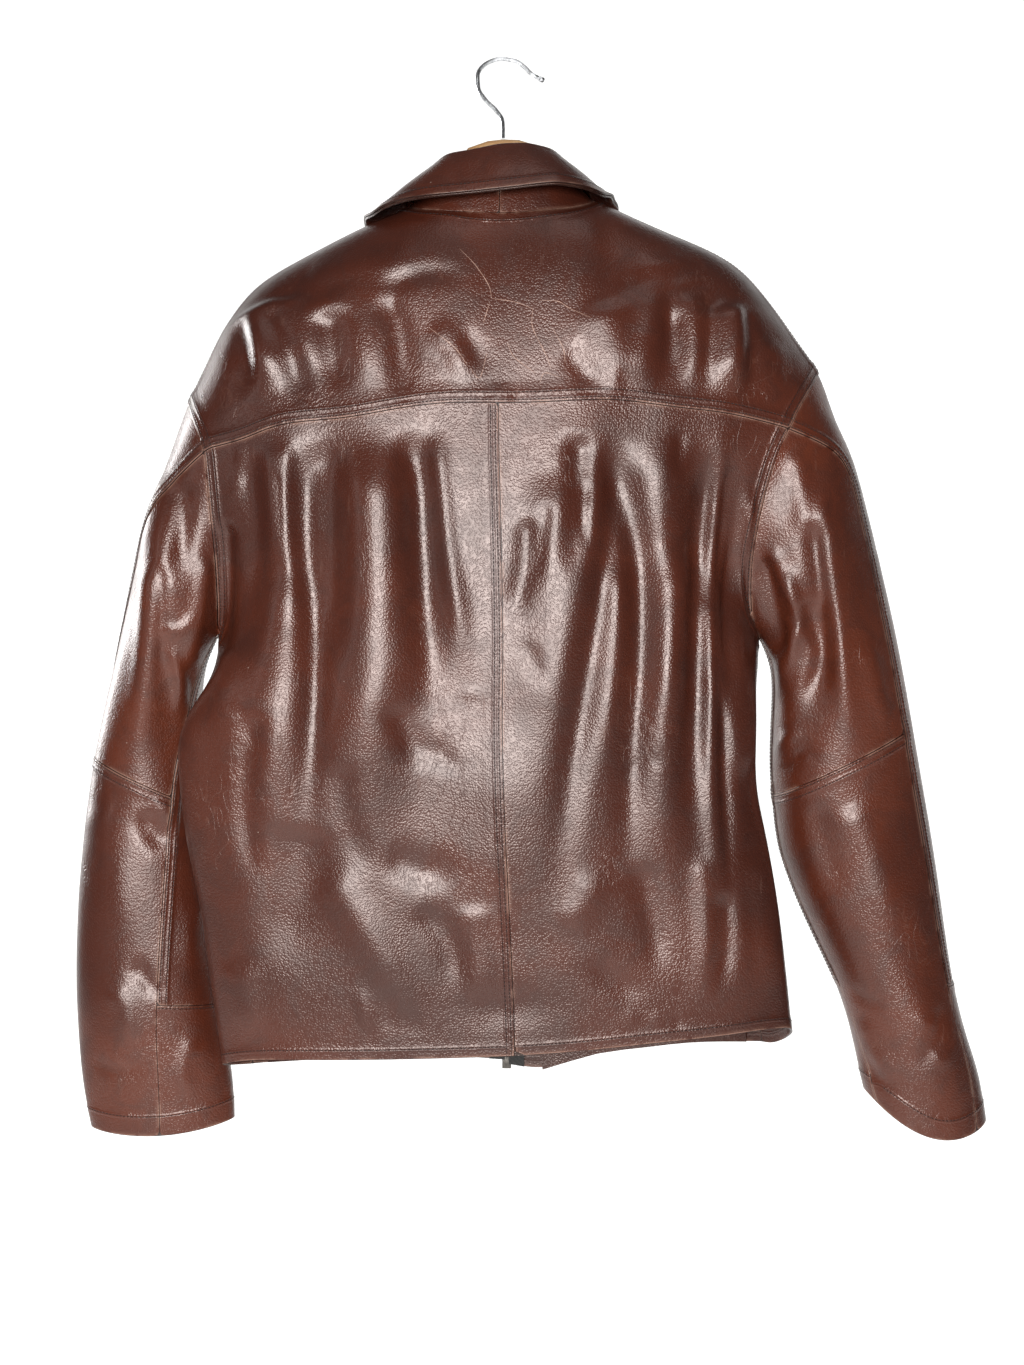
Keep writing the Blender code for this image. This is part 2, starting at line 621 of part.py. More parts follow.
def make_object(name, points, faces, finish, origin=(0.0, 0.0, 0.0)):
    """An object from points in millimetres, with its origin at the given place."""
    mesh = bpy.data.meshes.new(name)
    shifted = (np.asarray(points, float) - np.asarray(origin)) * MM
    mesh.from_pydata([tuple(p) for p in shifted], [], faces)
    material = finish.copy()
    material.name = name + "_" + finish.name
    mesh.materials.append(material)
    mesh.shade_smooth()
    mesh.set_sharp_from_angle(angle=math.radians(40))
    item = bpy.data.objects.new(name, mesh)
    item.location = np.asarray(origin) * MM
    bpy.context.scene.collection.objects.link(item)
    return item


def wall(name, outer, inner, finish):
    """A closed wall between an outer and an inner grid of the same size."""
    rows, cols = outer.shape[:2]
    count = rows * cols
    points = np.vstack([outer.reshape(-1, 3), inner.reshape(-1, 3)])

    def at(r, c, layer):
        return layer * count + r * cols + c

    faces = []
    for r in range(rows - 1):
        for c in range(cols - 1):
            quad = [at(r, c, 0), at(r + 1, c, 0), at(r + 1, c + 1, 0), at(r, c + 1, 0)]
            faces += split_quad(points, quad)
            faces += [[i + count for i in reversed(f)] for f in split_quad(points, quad)]
    rim = [(r, 0) for r in range(rows)] + [(rows - 1, c) for c in range(1, cols)]
    rim += [(r, cols - 1) for r in range(rows - 2, -1, -1)] + [(0, c) for c in range(cols - 2, 0, -1)]
    for (r0, c0), (r1, c1) in zip(rim, rim[1:] + rim[:1]):
        faces += split_quad(points, [at(r1, c1, 0), at(r0, c0, 0), at(r0, c0, 1), at(r1, c1, 1)])
    return make_object(name, points, faces, finish)


def split_quad(points, quad):
    """Two triangles of a quad, cut along its shorter diagonal."""
    a, b, c, d = quad
    if np.linalg.norm(points[a] - points[c]) <= np.linalg.norm(points[b] - points[d]):
        return [[a, b, c], [a, c, d]]
    return [[a, b, d], [b, c, d]]


def build_panel(panel):
    """The closed wall of a leather panel."""
    inner = panel.grid - panel.normal * panel.thickness
    return wall(panel.name, panel.grid, inner, panel.finish)


def body_panels(finish):
    """Back halves, yoke, fronts, sleeves and stand as panels on one shared surface."""
    panels, yokes = [], {}
    for side, word in ((-1, "left"), (1, "right")):
        back, yoke, front = body_grids(side)
        loop = armhole_loop(back, yoke, front)
        sleeve = sleeve_grid(side, loop)
        seam = neck_loop(yoke, front)
        yokes[side] = yoke
        panels.append(Panel("back_" + word, back, BODY_CENTRE, finish))
        panels.append(Panel("front_" + word, front, BODY_CENTRE, finish))
        stand = stand_grid(side, seam)
        axis = stand * (0, 0, 1) + (0, NECK_MIDDLE_Y, 0)
        panels.append(Panel("collar_stand_" + word, stand, axis, finish, COLLAR_LEATHER))
        panels += sleeve_panels(side, word, sleeve, finish)
    whole = np.concatenate([yokes[-1][:, ::-1], yokes[1][:, 1:]], axis=1)
    panels.append(Panel("back_yoke", whole, BODY_CENTRE, finish))
    return panels


def sleeve_panels(side, word, grid, finish):
    """The four pieces of a sleeve: top, its lower end, and the upper and lower back."""
    seam, under = YOKE_ROWS, YOKE_ROWS + ARMHOLE_ROWS
    top = np.concatenate([grid[:, under:-1], grid[:, :seam + 1]], axis=1)
    behind = grid[:, seam:under + 1]
    middle = grid[:, :-1].mean(axis=1)[:, None, :]
    pieces = {
        "_top": (top, 0, CROSS_SEAM_ROW),
        "_front_lower": (top, CROSS_SEAM_ROW, SLEEVE_ROWS),
        "_back_upper": (behind, 0, ELBOW_ROW),
        "_back_lower": (behind, ELBOW_ROW, SLEEVE_ROWS),
    }
    return [Panel("sleeve_" + word + end, piece[a:b + 1], middle[a:b + 1], finish)
            for end, (piece, a, b) in pieces.items()]


def layer(name, points, normal, depth, thickness, finish):
    """A closed sheet at a depth below a grid of points, along its normals."""
    outer = points - normal * depth
    return wall(name, outer, outer - normal * thickness, finish)


def halved(points):
    """A row of points with the middle of each stretch added."""
    fine = np.repeat(points, 2, axis=0)[:-1]
    fine[1::2] = (points[:-1] + points[1:]) / 2
    return fine


def collar_points():
    """Fold line, free edge, stand's middle, outward and upward at the collar's columns."""
    halves = []
    for side in (-1, 1):
        _, yoke, front = body_grids(side)
        seam = neck_loop(yoke, front)
        fold = halved(along(FOLD_LINE[side], len(seam) - 1))
        seam = halved(seam)
        edge = along(FALL_EDGE[side], len(seam) - 1)
        middle = seam + (fold - seam) * (1 - INNER_LEG_SHARE)
        half = np.stack([fold, edge, middle, *fold_frame(fold, seam)])
        halves.append(half[:, ::-1] if side < 0 else half[:, 1:])
    return np.concatenate(halves, axis=1)


def lift_off(points, panels, clear):
    """Points moved out so that each lies at least the given distance above the panels."""
    trees = []
    for panel in panels:
        rows, cols = panel.grid.shape[:2]
        faces = [(r * cols + c, (r + 1) * cols + c, (r + 1) * cols + c + 1, r * cols + c + 1)
                 for r in range(rows - 1) for c in range(cols - 1)]
        trees.append(BVHTree.FromPolygons(panel.grid.reshape(-1, 3).tolist(), faces))
    lifted = points.copy()
    for index in np.ndindex(points.shape[:-1]):
        for tree in trees * 2:
            near, normal, _, far = tree.find_nearest(lifted[index].tolist())
            height = float(np.dot(lifted[index] - np.array(near), normal))
            if far < 3 * clear and height < clear:
                lifted[index] += np.array(normal) * (clear - height)
    return lifted


def collar_fall(body, finish):
    """The turned-down collar: a layer over the stand's edge and the layer below it."""
    fold, edge, middle, out, up = collar_points()
    roll = fold - up * ROLL_DROP - out * ROLL_IN
    rows = [middle - out * (2 * COLLAR_LEATHER + 2 * LAYER_GAP)]
    for angle in (180, 135, 90, 45, 0):
        a = math.radians(angle)
        rows.append(roll + out * ROLL_RADIUS * math.cos(a) + up * ROLL_RADIUS * math.sin(a))
    start = rows[-1]
    for r in range(1, FALL_ROWS + 1):
        v = r / FALL_ROWS
        bulge = FALL_BULGE * math.sin(math.pi * v)
        rows.append(start + (edge - start) * v + (out * 0.8 + up * 0.6) * bulge)
    rows[-3:] = list(lift_off(np.array(rows[-3:]), body, FALL_CLEAR))
    grid = np.array(rows)
    axis = grid * 0
    axis[:] = roll
    axis[0] += out * 2 * ROLL_RADIUS
    axis[-FALL_ROWS:] -= out * 30
    axis[-FALL_ROWS:] -= up * 20
    panel = Panel("collar_fall", grid, axis, finish, COLLAR_LEATHER)
    build_panel(panel)
    first = len(rows) - FALL_ROWS
    layer("collar_under", panel.grid[first:], panel.normal[first:],
          COLLAR_LEATHER + LAYER_GAP, COLLAR_LEATHER, finish)


def zip_pieces(fronts, cloth, metal):
    """Tapes, chain, box, slider and pull tab between the two fronts."""
    edges = {}
    for side, word in ((-1, "left"), (1, "right")):
        panel = fronts[side]
        first, second = (0, 1) if abs(panel.grid[0, 0, 0]) < abs(panel.grid[0, -1, 0]) else (-1, -2)
        start, inside = panel.grid[1:, first], panel.grid[1:, second]
        normal = panel.normal[1:, first][:, None, :]
        run = inside - start
        run /= np.linalg.norm(run, axis=1)[:, None]
        pair = np.stack([start + run * TAPE_INSIDE, start - run * TAPE_OUTSIDE], axis=1)
        if side < 0:
            pair = pair[:, ::-1]
        layer("zip_tape_" + word, pair, np.repeat(normal, 2, axis=1), LEATHER + LAYER_GAP, TAPE, cloth)
        edges[side] = start
    middle = (edges[-1] + edges[1]) / 2
    zip_chain(middle, metal)
    box_z = BOX_BOTTOM_Z + BOX_SIZE[2] / 2
    block("zip_box", zip_place(middle, box_z), BOX_SIZE, metal)
    zip_slider(middle, metal)


def zip_place(middle, z):
    """The point of the zip's middle line at a height, on the back of its metal pieces."""
    order = np.argsort(middle[:, 2])
    x = np.interp(z, middle[order, 2], middle[order, 0])
    y = np.interp(z, middle[order, 2], middle[order, 1])
    return np.array([x, y - LEATHER - LAYER_GAP + PART_GAP, z])


def zip_chain(middle, metal):
    """The closed chain as a plain bar; its teeth are finer than this model."""
    bottom = BOX_BOTTOM_Z + BOX_SIZE[2] + PART_GAP
    inside = [z for z in middle[:, 2] if bottom + 5 < z < CHAIN_TOP_Z - 5]
    stations = np.array([zip_place(middle, z) for z in [CHAIN_TOP_Z] + inside + [bottom]])
    half = np.array([CHAIN_WIDTH / 2, 0, 0])
    outer = np.stack([stations + half, stations - half], axis=1) + (0, CHAIN_DEPTH, 0)
    wall("zip_chain", outer, outer - (0, CHAIN_DEPTH, 0), metal)


def block(name, back, size, finish, origin=(0.0, 0.0, 0.0)):
    """A box whose back face is centred on a point."""
    x, y, z = np.asarray(size) / 2
    corners = [(i * x, y + j * y, k * z) for k in (-1, 1) for j in (-1, 1) for i in (-1, 1)]
    faces = [(0, 2, 3, 1), (4, 5, 7, 6), (0, 1, 5, 4), (2, 6, 7, 3), (0, 4, 6, 2), (1, 3, 7, 5)]
    return make_object(name, np.asarray(corners) + back, faces, finish, origin)


def carve(item, steps):
    """Join blocks to an object or cut them out of it, and remove the blocks."""
    for tool, how in steps:
        step = item.modifiers.new(how.lower(), "BOOLEAN")
        step.operation = how
        step.object = tool
    graph = bpy.context.evaluated_depsgraph_get()
    mesh = bpy.data.meshes.new_from_object(item.evaluated_get(graph))
    item.modifiers.clear()
    item.data = mesh
    for tool, _ in steps:
        bpy.data.objects.remove(tool, do_unlink=True)


def zip_slider(middle, metal):
    """The slider with its bridge, and the pull tab that hinges on the bridge."""
    back = zip_place(middle, CHAIN_TOP_Z + PART_GAP + SLIDER[2] / 2)
    back = back + (0, PART_GAP, 0)
    slider = block("zip_slider", back, SLIDER, metal)
    front = back + (0, SLIDER[1], 0)
    bridge = block("bridge", front - (0, 1, 0), (BRIDGE[0], BRIDGE[1] + 1, BRIDGE[2]), metal)
    window = (BRIDGE[0] + 2, BRIDGE[1] - BRIDGE_BAR, BRIDGE[2] - 2 * BRIDGE_BAR)
    carve(slider, [(bridge, "UNION"), (block("window", front, window, metal), "DIFFERENCE")])
    hinge = front + (0, window[1] / 2, TAB_BAR / 2 + PART_GAP - window[2] / 2)
    drop = (TAB[2] - TAB_BAR) / 2
    tab = block("zip_pull_tab", hinge - (0, TAB[1] / 2, drop), TAB, metal, hinge)
    slot = (TAB_SLOT[0], TAB[1] + 2, TAB_SLOT[1])
    place = hinge - (0, slot[1] / 2, (TAB_BAR + TAB_SLOT[1]) / 2)
    carve(tab, [(block("slot", place, slot, metal), "DIFFERENCE")])


def hanger_stations():
    """Top line of the hanger from the left end to the right, under the shoulder seams."""
    line = []
    for side in (-1, 1):
        shoulder = along(SHOULDER[side], SHOULDER_COLS)[:HANGER_END_COLS + 1]
        run = np.gradient(shoulder, axis=0)
        up = np.stack([-run[:, 2] * side, run[:, 1] * 0, run[:, 0] * side], axis=1)
        up /= np.linalg.norm(up, axis=1)[:, None]
        low = shoulder - up * (LEATHER + CLOTH_TO_HANGER)
        hump = [(side * x, HANGER_Y * i / 5, z) for i, (x, z) in enumerate(HANGER_HUMP[side], 1)]
        half = np.vstack([hump, low[1:]])
        line.append(half[::-1] if side < 0 else half)
    return np.vstack([line[0], [HANGER_CENTRE], line[1]])


def hanger_body(finish):
    """The wooden arms: oval sections whose tops lie on the stations."""
    line = hanger_stations()
    run = np.gradient(line, axis=0)
    run[:, 1] = 0
    run /= np.linalg.norm(run, axis=1)[:, None]
    up = np.stack([-run[:, 2], run[:, 1], run[:, 0]], axis=1)
    far = np.abs(line[:, 0]) / np.abs(line[:, 0]).max()
    width = np.interp(far, [0, 1], HANGER_WIDTHS)
    height = np.interp(far, HANGER_HEIGHTS_AT, HANGER_HEIGHTS)
    angle = np.linspace(0, 2 * math.pi, HANGER_SIDES, endpoint=False)
    rings = []
    for p, u, w, h in zip(line, up, width, height):
        across = np.sin(angle)[:, None] * w / 2 * np.array([0, 1, 0])
        along_up = (np.cos(angle)[:, None] - 1) * h / 2 * u
        rings.append(p + across + along_up)
    tube("hanger_body", rings, finish)


def tube(name, rings, finish):
    """A closed solid through rings of points, with flat ends."""
    rings = [np.asarray(r) for r in rings]
    sides = len(rings[0])
    points = np.vstack(rings)
    faces = [tuple(range(sides)), tuple(range(len(points) - 1, len(points) - sides - 1, -1))]
    for k in range(len(rings) - 1):
        for i in range(sides):
            j = (i + 1) % sides
            a, b = k * sides + i, k * sides + j
            faces.append((a, a + sides, b + sides, b))
    return make_object(name, points, faces, finish)


def hanger_hook(finish):
    """The bent wire hook, with a small ball at its tip."""
    route = np.array([(x, 0, z) for x, z in HOOK_ROUTE], float)
    line = along(route, HOOK_POINTS)
    run = np.gradient(line, axis=0)
    run /= np.linalg.norm(run, axis=1)[:, None]
    tip = [line[-1] + run[-1] * far for far, _ in HOOK_TIP[1:]]
    radii = [WIRE / 2] * len(line) + [WIRE / 2 * share for _, share in HOOK_TIP[1:]]
    line = np.vstack([line, tip])
    run = np.vstack([run, np.repeat(run[-1:], len(tip), axis=0)])
    side = np.stack([-run[:, 2], run[:, 1], run[:, 0]], axis=1)
    angle = np.linspace(0, 2 * math.pi, WIRE_SIDES, endpoint=False)[:, None]
    rings = [p + r * (np.cos(angle) * s + np.sin(angle) * np.array([0, 1, 0]))
             for p, r, s in zip(line, radii, side)]
    tube("hanger_hook", rings, finish)


def clear_scene():
    """Remove whatever the file opened with."""
    for item in list(bpy.data.objects):
        bpy.data.objects.remove(item, do_unlink=True)


def main():
    """Build the jacket, its zip and the hanger."""
    clear_scene()
    leather = finish_material("brown_leather", (0.085, 0.026, 0.017), 0.38)
    cloth = finish_material("zip_tape", (0.02, 0.018, 0.016), 0.9)
    metal = finish_material("dark_metal", (0.09, 0.085, 0.08), 0.4, 1.0)
    wood = finish_material("beech", (0.62, 0.34, 0.13), 0.45)
    steel = finish_material("steel_wire", (0.62, 0.63, 0.65), 0.25, 1.0)
    panels = body_panels(leather)
    join_seams(panels)
    for panel in panels:
        build_panel(panel)
    named = {panel.name: panel for panel in panels}
    for word in ("left", "right"):
        front = named["front_" + word]
        near = slice(1, -2) if abs(front.grid[0, 0, 0]) < abs(front.grid[0, -1, 0]) else slice(2, -1)
        layer("hem_facing_" + word, front.grid[-2:, near], front.normal[-2:, near],
              LEATHER + LAYER_GAP, FACING, leather)
    collar_fall([named["back_yoke"], named["front_left"], named["front_right"]], leather)
    zip_pieces({-1: named["front_left"], 1: named["front_right"]}, cloth, metal)
    hanger_body(wood)
    hanger_hook(steel)


main()
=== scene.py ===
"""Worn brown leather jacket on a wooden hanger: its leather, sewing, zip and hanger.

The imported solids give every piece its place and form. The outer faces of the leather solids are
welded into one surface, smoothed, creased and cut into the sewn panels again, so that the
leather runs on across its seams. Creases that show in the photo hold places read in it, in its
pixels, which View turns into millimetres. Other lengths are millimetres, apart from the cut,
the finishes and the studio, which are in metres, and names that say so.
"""

import json
import logging
import math
from collections.abc import Iterable, Sequence
from dataclasses import dataclass, field, replace
from enum import Enum
from typing import ClassVar

import bmesh
import bpy
import numpy as np
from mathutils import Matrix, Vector
from mathutils.bvhtree import BVHTree
from mathutils.kdtree import KDTree

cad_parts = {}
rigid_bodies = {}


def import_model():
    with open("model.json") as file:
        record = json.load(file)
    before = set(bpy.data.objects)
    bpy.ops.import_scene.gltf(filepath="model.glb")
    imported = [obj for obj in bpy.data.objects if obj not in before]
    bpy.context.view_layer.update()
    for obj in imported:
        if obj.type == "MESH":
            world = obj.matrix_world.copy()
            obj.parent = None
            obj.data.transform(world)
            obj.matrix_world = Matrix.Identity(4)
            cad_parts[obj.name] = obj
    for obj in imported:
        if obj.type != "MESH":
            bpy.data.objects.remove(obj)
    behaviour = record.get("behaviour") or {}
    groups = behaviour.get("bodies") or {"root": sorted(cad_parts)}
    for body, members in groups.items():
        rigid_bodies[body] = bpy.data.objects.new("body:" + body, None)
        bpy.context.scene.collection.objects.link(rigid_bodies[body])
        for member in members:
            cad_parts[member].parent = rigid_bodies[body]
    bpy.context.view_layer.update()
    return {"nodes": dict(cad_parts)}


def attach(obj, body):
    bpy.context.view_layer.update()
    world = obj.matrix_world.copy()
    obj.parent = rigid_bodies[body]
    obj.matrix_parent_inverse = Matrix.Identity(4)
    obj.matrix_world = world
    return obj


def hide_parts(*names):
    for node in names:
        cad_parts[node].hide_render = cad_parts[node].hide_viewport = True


LOG = logging.getLogger("jacket")
MM = 0.001
FAR = 99.0
MERGE_METRES = 0.00001
CORNER_COSINE = 0.6

Point = tuple[float, float]
Colour = tuple[float, float, float]


class Facing(Enum):
    """Which way the leather under a crease looks."""

    BACK = -1
    FRONT = 1


class Slot(Enum):
    """The record's material slots."""

    LEATHER = "leather"
    TAPE = "zip_tape"
    DARK = "dark_metal"
    WOOD = "wood"
    STEEL = "steel_wire"


def step(value: np.ndarray | float, start: float, end: float) -> np.ndarray:
    """Ease from 0 at start to 1 at end.

    Args:
        value: Where to read the step.
        start: Last place at which it is 0.
        end: First place at which it is 1.

    Returns:
        The step's height at each value.
    """
    share = np.clip((np.asarray(value, float) - start) / (end - start), 0, 1)
    return share * share * (3 - 2 * share)


def curve_through(points: Sequence[Sequence[float]], each: int) -> np.ndarray:
    """Run a smooth line through a few points.

    Args:
        points: The points to pass, two or more.
        each: Stretches between one point and the next.

    Returns:
        The line's points, ends included.
    """
    p = np.asarray(points, float)
    slope = np.gradient(p, axis=0)
    shares = np.linspace(0, 1, each, endpoint=False)[:, None]
    parts = []
    for i in range(len(p) - 1):
        a, b, u = p[i], p[i + 1], shares
        parts.append(a * (1 + 2 * u) * (1 - u) ** 2 + slope[i] * u * (1 - u) ** 2
                     + b * u * u * (3 - 2 * u) - slope[i + 1] * u * u * (1 - u))
    return np.vstack(parts + [p[-1:]])


def to_line(spots: np.ndarray, line: np.ndarray) -> tuple[np.ndarray, np.ndarray, np.ndarray]:
    """Measure from each spot to a line of points.

    Args:
        spots: The spots, one to a row.
        line: The line's points, in as many dimensions.

    Returns:
        Distance, share of the way along the line, and the offset's first two signs as a side.
    """
    best = np.full(len(spots), np.inf)
    share = np.zeros(len(spots))
    side = np.zeros(len(spots))
    lengths = np.linalg.norm(np.diff(line, axis=0), axis=1)
    run = np.concatenate([[0], np.cumsum(lengths)])
    for i, (a, b) in enumerate(zip(line[:-1], line[1:])):
        way = b - a
        u = np.clip((spots - a) @ way / max(way @ way, 1e-12), 0, 1)
        off = spots - a - u[:, None] * way
        far = np.linalg.norm(off, axis=1)
        nearer = far < best
        best[nearer] = far[nearer]
        share[nearer] = (run[i] + u[nearer] * lengths[i]) / run[-1]
        side[nearer] = (off[nearer, 0] * way[1] - off[nearer, 1] * way[0])
    return best, share, np.sign(side)


@dataclass(frozen=True)
class Crease:
    """A soft ridge or trough in the leather.

    The points are (x, z) from the top down, and the height is outwards when positive. Lean is the
    width towards -X over the width towards +X. Start and tail are the shares of its length over
    which it comes and goes.
    """

    points: tuple[Point, ...]
    width: float
    height: float
    facing: Facing = Facing.BACK
    tail: float = 0.42
    lean: float = 1.0
    start: float = 0.14

    SPREAD: ClassVar[float] = 1.2
    DEPTH: ClassVar[float] = 1.3
    RUN_IN: ClassVar[float] = 16.0
    NARROW: ClassVar[tuple[float, float]] = (0.4, 0.06)

    def lift(self, spots: np.ndarray, looks: np.ndarray) -> np.ndarray:
        """Height of this crease at each spot.

        Args:
            spots: Places as (x, z).
            looks: The y part of each place's normal.

        Returns:
            Heights along the normals.
        """
        line = curve_through(self.points, 6)
        length = np.linalg.norm(np.diff(line, axis=0), axis=1).sum()
        reach = 2.6 * self.width * self.SPREAD * max(self.lean, 1.0)
        low, high = line.min(axis=0) - reach, line.max(axis=0) + reach
        near = np.flatnonzero(((spots > low) & (spots < high)).all(axis=1)
                              & (looks * self.facing.value > 0))
        total = np.zeros(len(spots))
        if not len(near):
            return total
        far, share, side = to_line(spots[near], line)
        width = self.width * self.SPREAD * np.where(side > 0, self.lean, 1.0)
        start = min(0.5, max(self.start, self.RUN_IN / length))
        ends = step(share, 0, start) * step(1 - share, 0, max(start, self.tail))
        faces = step(looks[near] * self.facing.value, 0.05, 0.5)
        height = self.height * self.DEPTH * min(1.0, self.NARROW[0] + self.NARROW[1] * self.width)
        total[near] = height * np.exp(-((far / width) ** 2)) * ends * faces
        return total


@dataclass(frozen=True)
class View:
    """The photo's scale at one depth of the jacket, for creases read in the photo.

    A place in the photo is (across, down) in its pixels, and a crease's width and height stay in
    millimetres. The photo looks along Y, with its middle pixel over one spot of the jacket.
    """

    scale: float

    MIDDLE: ClassVar[Point] = (512.0, 682.5)
    MIDDLE_SPOT: ClassVar[Point] = (7.8, -540.7)

    def place(self, read: Point) -> Point:
        """Turn a place in the photo into (x, z), to the whole millimetre."""
        across, down = read[0] - self.MIDDLE[0], read[1] - self.MIDDLE[1]
        return (round(self.MIDDLE_SPOT[0] + across * self.scale),
                round(self.MIDDLE_SPOT[1] - down * self.scale))

    def lay(self, *creases: Crease) -> tuple[Crease, ...]:
        """Lay creases whose points are places in the photo.

        Args:
            creases: The creases as read, with their widths and heights in millimetres.

        Returns:
            The creases with their points as (x, z).
        """
        return tuple(replace(c, points=tuple(self.place(p) for p in c.points)) for c in creases)


ON_BACK = View(0.835)
ON_SLEEVES = View(0.8625)
ON_COLLAR = View(0.83)

LEFT_BACK = ON_BACK.lay(
    Crease(((243, 437), (237, 470), (228, 505)), 5, 2),
    Crease(((242, 445), (252, 520), (252, 600), (248, 690)), 10, -3),
    Crease(((268, 440), (272, 520), (272, 590)), 8, 2),
    Crease(((277, 465), (280, 510), (282, 550)), 3.5, -1.6),
    Crease(((288, 430), (285, 500), (289, 560), (296, 600), (300, 640)), 5.5, 3.2, lean=1.6),
    Crease(((306, 435), (306, 540), (312, 620), (316, 680), (312, 760), (303, 860)), 10, -5.5),
    Crease(((360, 430), (362, 560), (360, 680), (350, 800), (340, 900)), 30, 5),
    Crease(((408, 425), (419, 500), (424, 580), (430, 660), (431, 730)), 12, -6),
    Crease(((436, 430), (441, 500), (449, 560), (458, 620), (463, 690)), 7, 3.2, lean=0.8),
    Crease(((455, 697), (470, 692), (484, 690)), 3, 1.2),
    Crease(((430, 735), (445, 760), (457, 778)), 5, -2),
    Crease(((392, 700), (408, 735), (425, 775)), 9, -3),
    Crease(((238, 698), (231, 712), (241, 727)), 4, 1.5),
    Crease(((225, 640), (222, 700), (226, 760)), 12, 2.5),
    Crease(((300, 820), (288, 900), (276, 985)), 22, -3.5),
    Crease(((325, 870), (365, 930), (400, 985), (415, 1030)), 13, 3),
    Crease(((385, 850), (425, 870), (468, 862)), 12, -2.5),
    Crease(((420, 905), (450, 945), (455, 1000)), 9, -3),
    Crease(((470, 900), (480, 960), (478, 1030)), 11, 2.5),
    Crease(((383, 985), (392, 1040)), 5, -2),
    Crease(((404, 1000), (418, 1044)), 4, -1.8),
    Crease(((358, 985), (372, 1035)), 5, 1.8),
    Crease(((236, 960), (240, 1010), (250, 1050)), 12, 2),
    Crease(((340, 760), (352, 830), (380, 880)), 10, -2),
)
RIGHT_BACK = ON_BACK.lay(
    Crease(((528, 515), (524, 570), (511, 628)), 7, -3),
    Crease(((516, 640), (530, 655), (545, 690)), 6, -1.5),
    Crease(((560, 470), (562, 600), (548, 700), (532, 800)), 24, 3.6),
    Crease(((588, 478), (583, 520), (588, 560)), 4, -1.8),
    Crease(((548, 500), (541, 550), (530, 600)), 5, -1.6),
    Crease(((602, 425), (612, 500), (602, 580), (588, 660), (575, 740), (562, 830),
            (550, 920)), 9, -4.8),
    Crease(((617, 556), (616, 640), (608, 720), (598, 800)), 8, 3.2),
    Crease(((613, 425), (628, 510), (640, 580), (641, 660), (634, 740), (628, 820),
            (625, 900)), 10, -4.8),
    Crease(((660, 425), (665, 520), (673, 580), (668, 660), (655, 740), (650, 820)), 16, 4.2),
    Crease(((681, 425), (676, 480)), 5, -1.8),
    Crease(((713, 440), (704, 540), (697, 620), (694, 700), (690, 780), (692, 860)), 11, -7.5),
    Crease(((729, 422), (719, 500), (714, 600), (713, 700), (716, 800), (722, 900),
            (716, 965)), 5, 4.2, lean=1.4),
    Crease(((729, 510), (722, 600), (722, 690)), 5, -1.8),
    Crease(((739, 465), (733, 540), (726, 600), (728, 680), (738, 740), (752, 775)), 5, 3.2),
    Crease(((747, 545), (742, 640), (752, 725)), 6, -3),
    Crease(((762, 590), (764, 660), (758, 740), (757, 810)), 5, 2.8),
    Crease(((700, 850), (708, 920), (705, 985), (690, 1012)), 8, 2.6),
    Crease(((724, 890), (727, 950), (716, 1000)), 8, -3.2),
    Crease(((622, 778), (640, 762), (650, 748)), 2.6, -1.4),
    Crease(((648, 750), (664, 770)), 2.6, -1.1),
    Crease(((655, 742), (672, 738)), 2.6, 1.0),
    Crease(((640, 860), (652, 920), (662, 985)), 10, -2.4),
    Crease(((560, 930), (585, 900), (600, 860)), 10, 2.2),
    Crease(((590, 960), (620, 985), (650, 1000)), 9, -1.8),
    Crease(((630, 1008), (634, 1030)), 3.5, 1.3),
    Crease(((655, 1010), (659, 1030)), 3.5, 1.3),
    Crease(((676, 1012), (680, 1032)), 3.5, -1.3),
    Crease(((760, 850), (768, 930), (776, 1010)), 9, 2.2),
)
YOKE = ON_BACK.lay(
    Crease(((262, 300), (284, 340), (298, 380), (304, 412)), 10, -4.5),
    Crease(((250, 303), (257, 350), (256, 397)), 8, 3),
    Crease(((232, 330), (238, 370), (232, 405)), 8, -2.5),
    Crease(((325, 285), (343, 345), (358, 398)), 20, 3.4),
    Crease(((381, 292), (399, 330), (403, 375), (398, 412)), 10, -3.6),
    Crease(((380, 296), (398, 282), (432, 272), (472, 282)), 7, -2.2),
    Crease(((300, 276), (375, 262), (440, 258)), 11, 2.6),
    Crease(((264, 284), (284, 291), (302, 283)), 4, -1.8),
    Crease(((270, 297), (292, 301), (306, 296)), 4, 1.4),
    Crease(((430, 325), (455, 350), (470, 392)), 9, 2.2),
    Crease(((458, 330), (476, 352), (486, 378)), 7, -1.8),
    Crease(((560, 350), (585, 375), (592, 402)), 8, -2.0),
    Crease(((612, 368), (617, 397)), 5, 1.8),
    Crease(((652, 290), (646, 345), (639, 402)), 10, 2.8),
    Crease(((671, 285), (667, 345), (658, 402)), 6, -2.2),
    Crease(((692, 285), (692, 340), (686, 402)), 9, 2.8),
    Crease(((712, 285), (710, 340), (704, 400)), 6, -2.2),
    Crease(((735, 290), (736, 340), (731, 402)), 8, 3.2),
    Crease(((747, 300), (753, 345), (748, 404)), 6, -3.4),
    Crease(((668, 286), (690, 279), (707, 271)), 4, 1.4),
    Crease(((610, 286), (640, 281), (668, 264)), 5, -1.8),
    Crease(((640, 270), (675, 256), (702, 262)), 7, 2.0),
    Crease(((776, 330), (778, 365), (772, 405)), 10, 2.0),
)
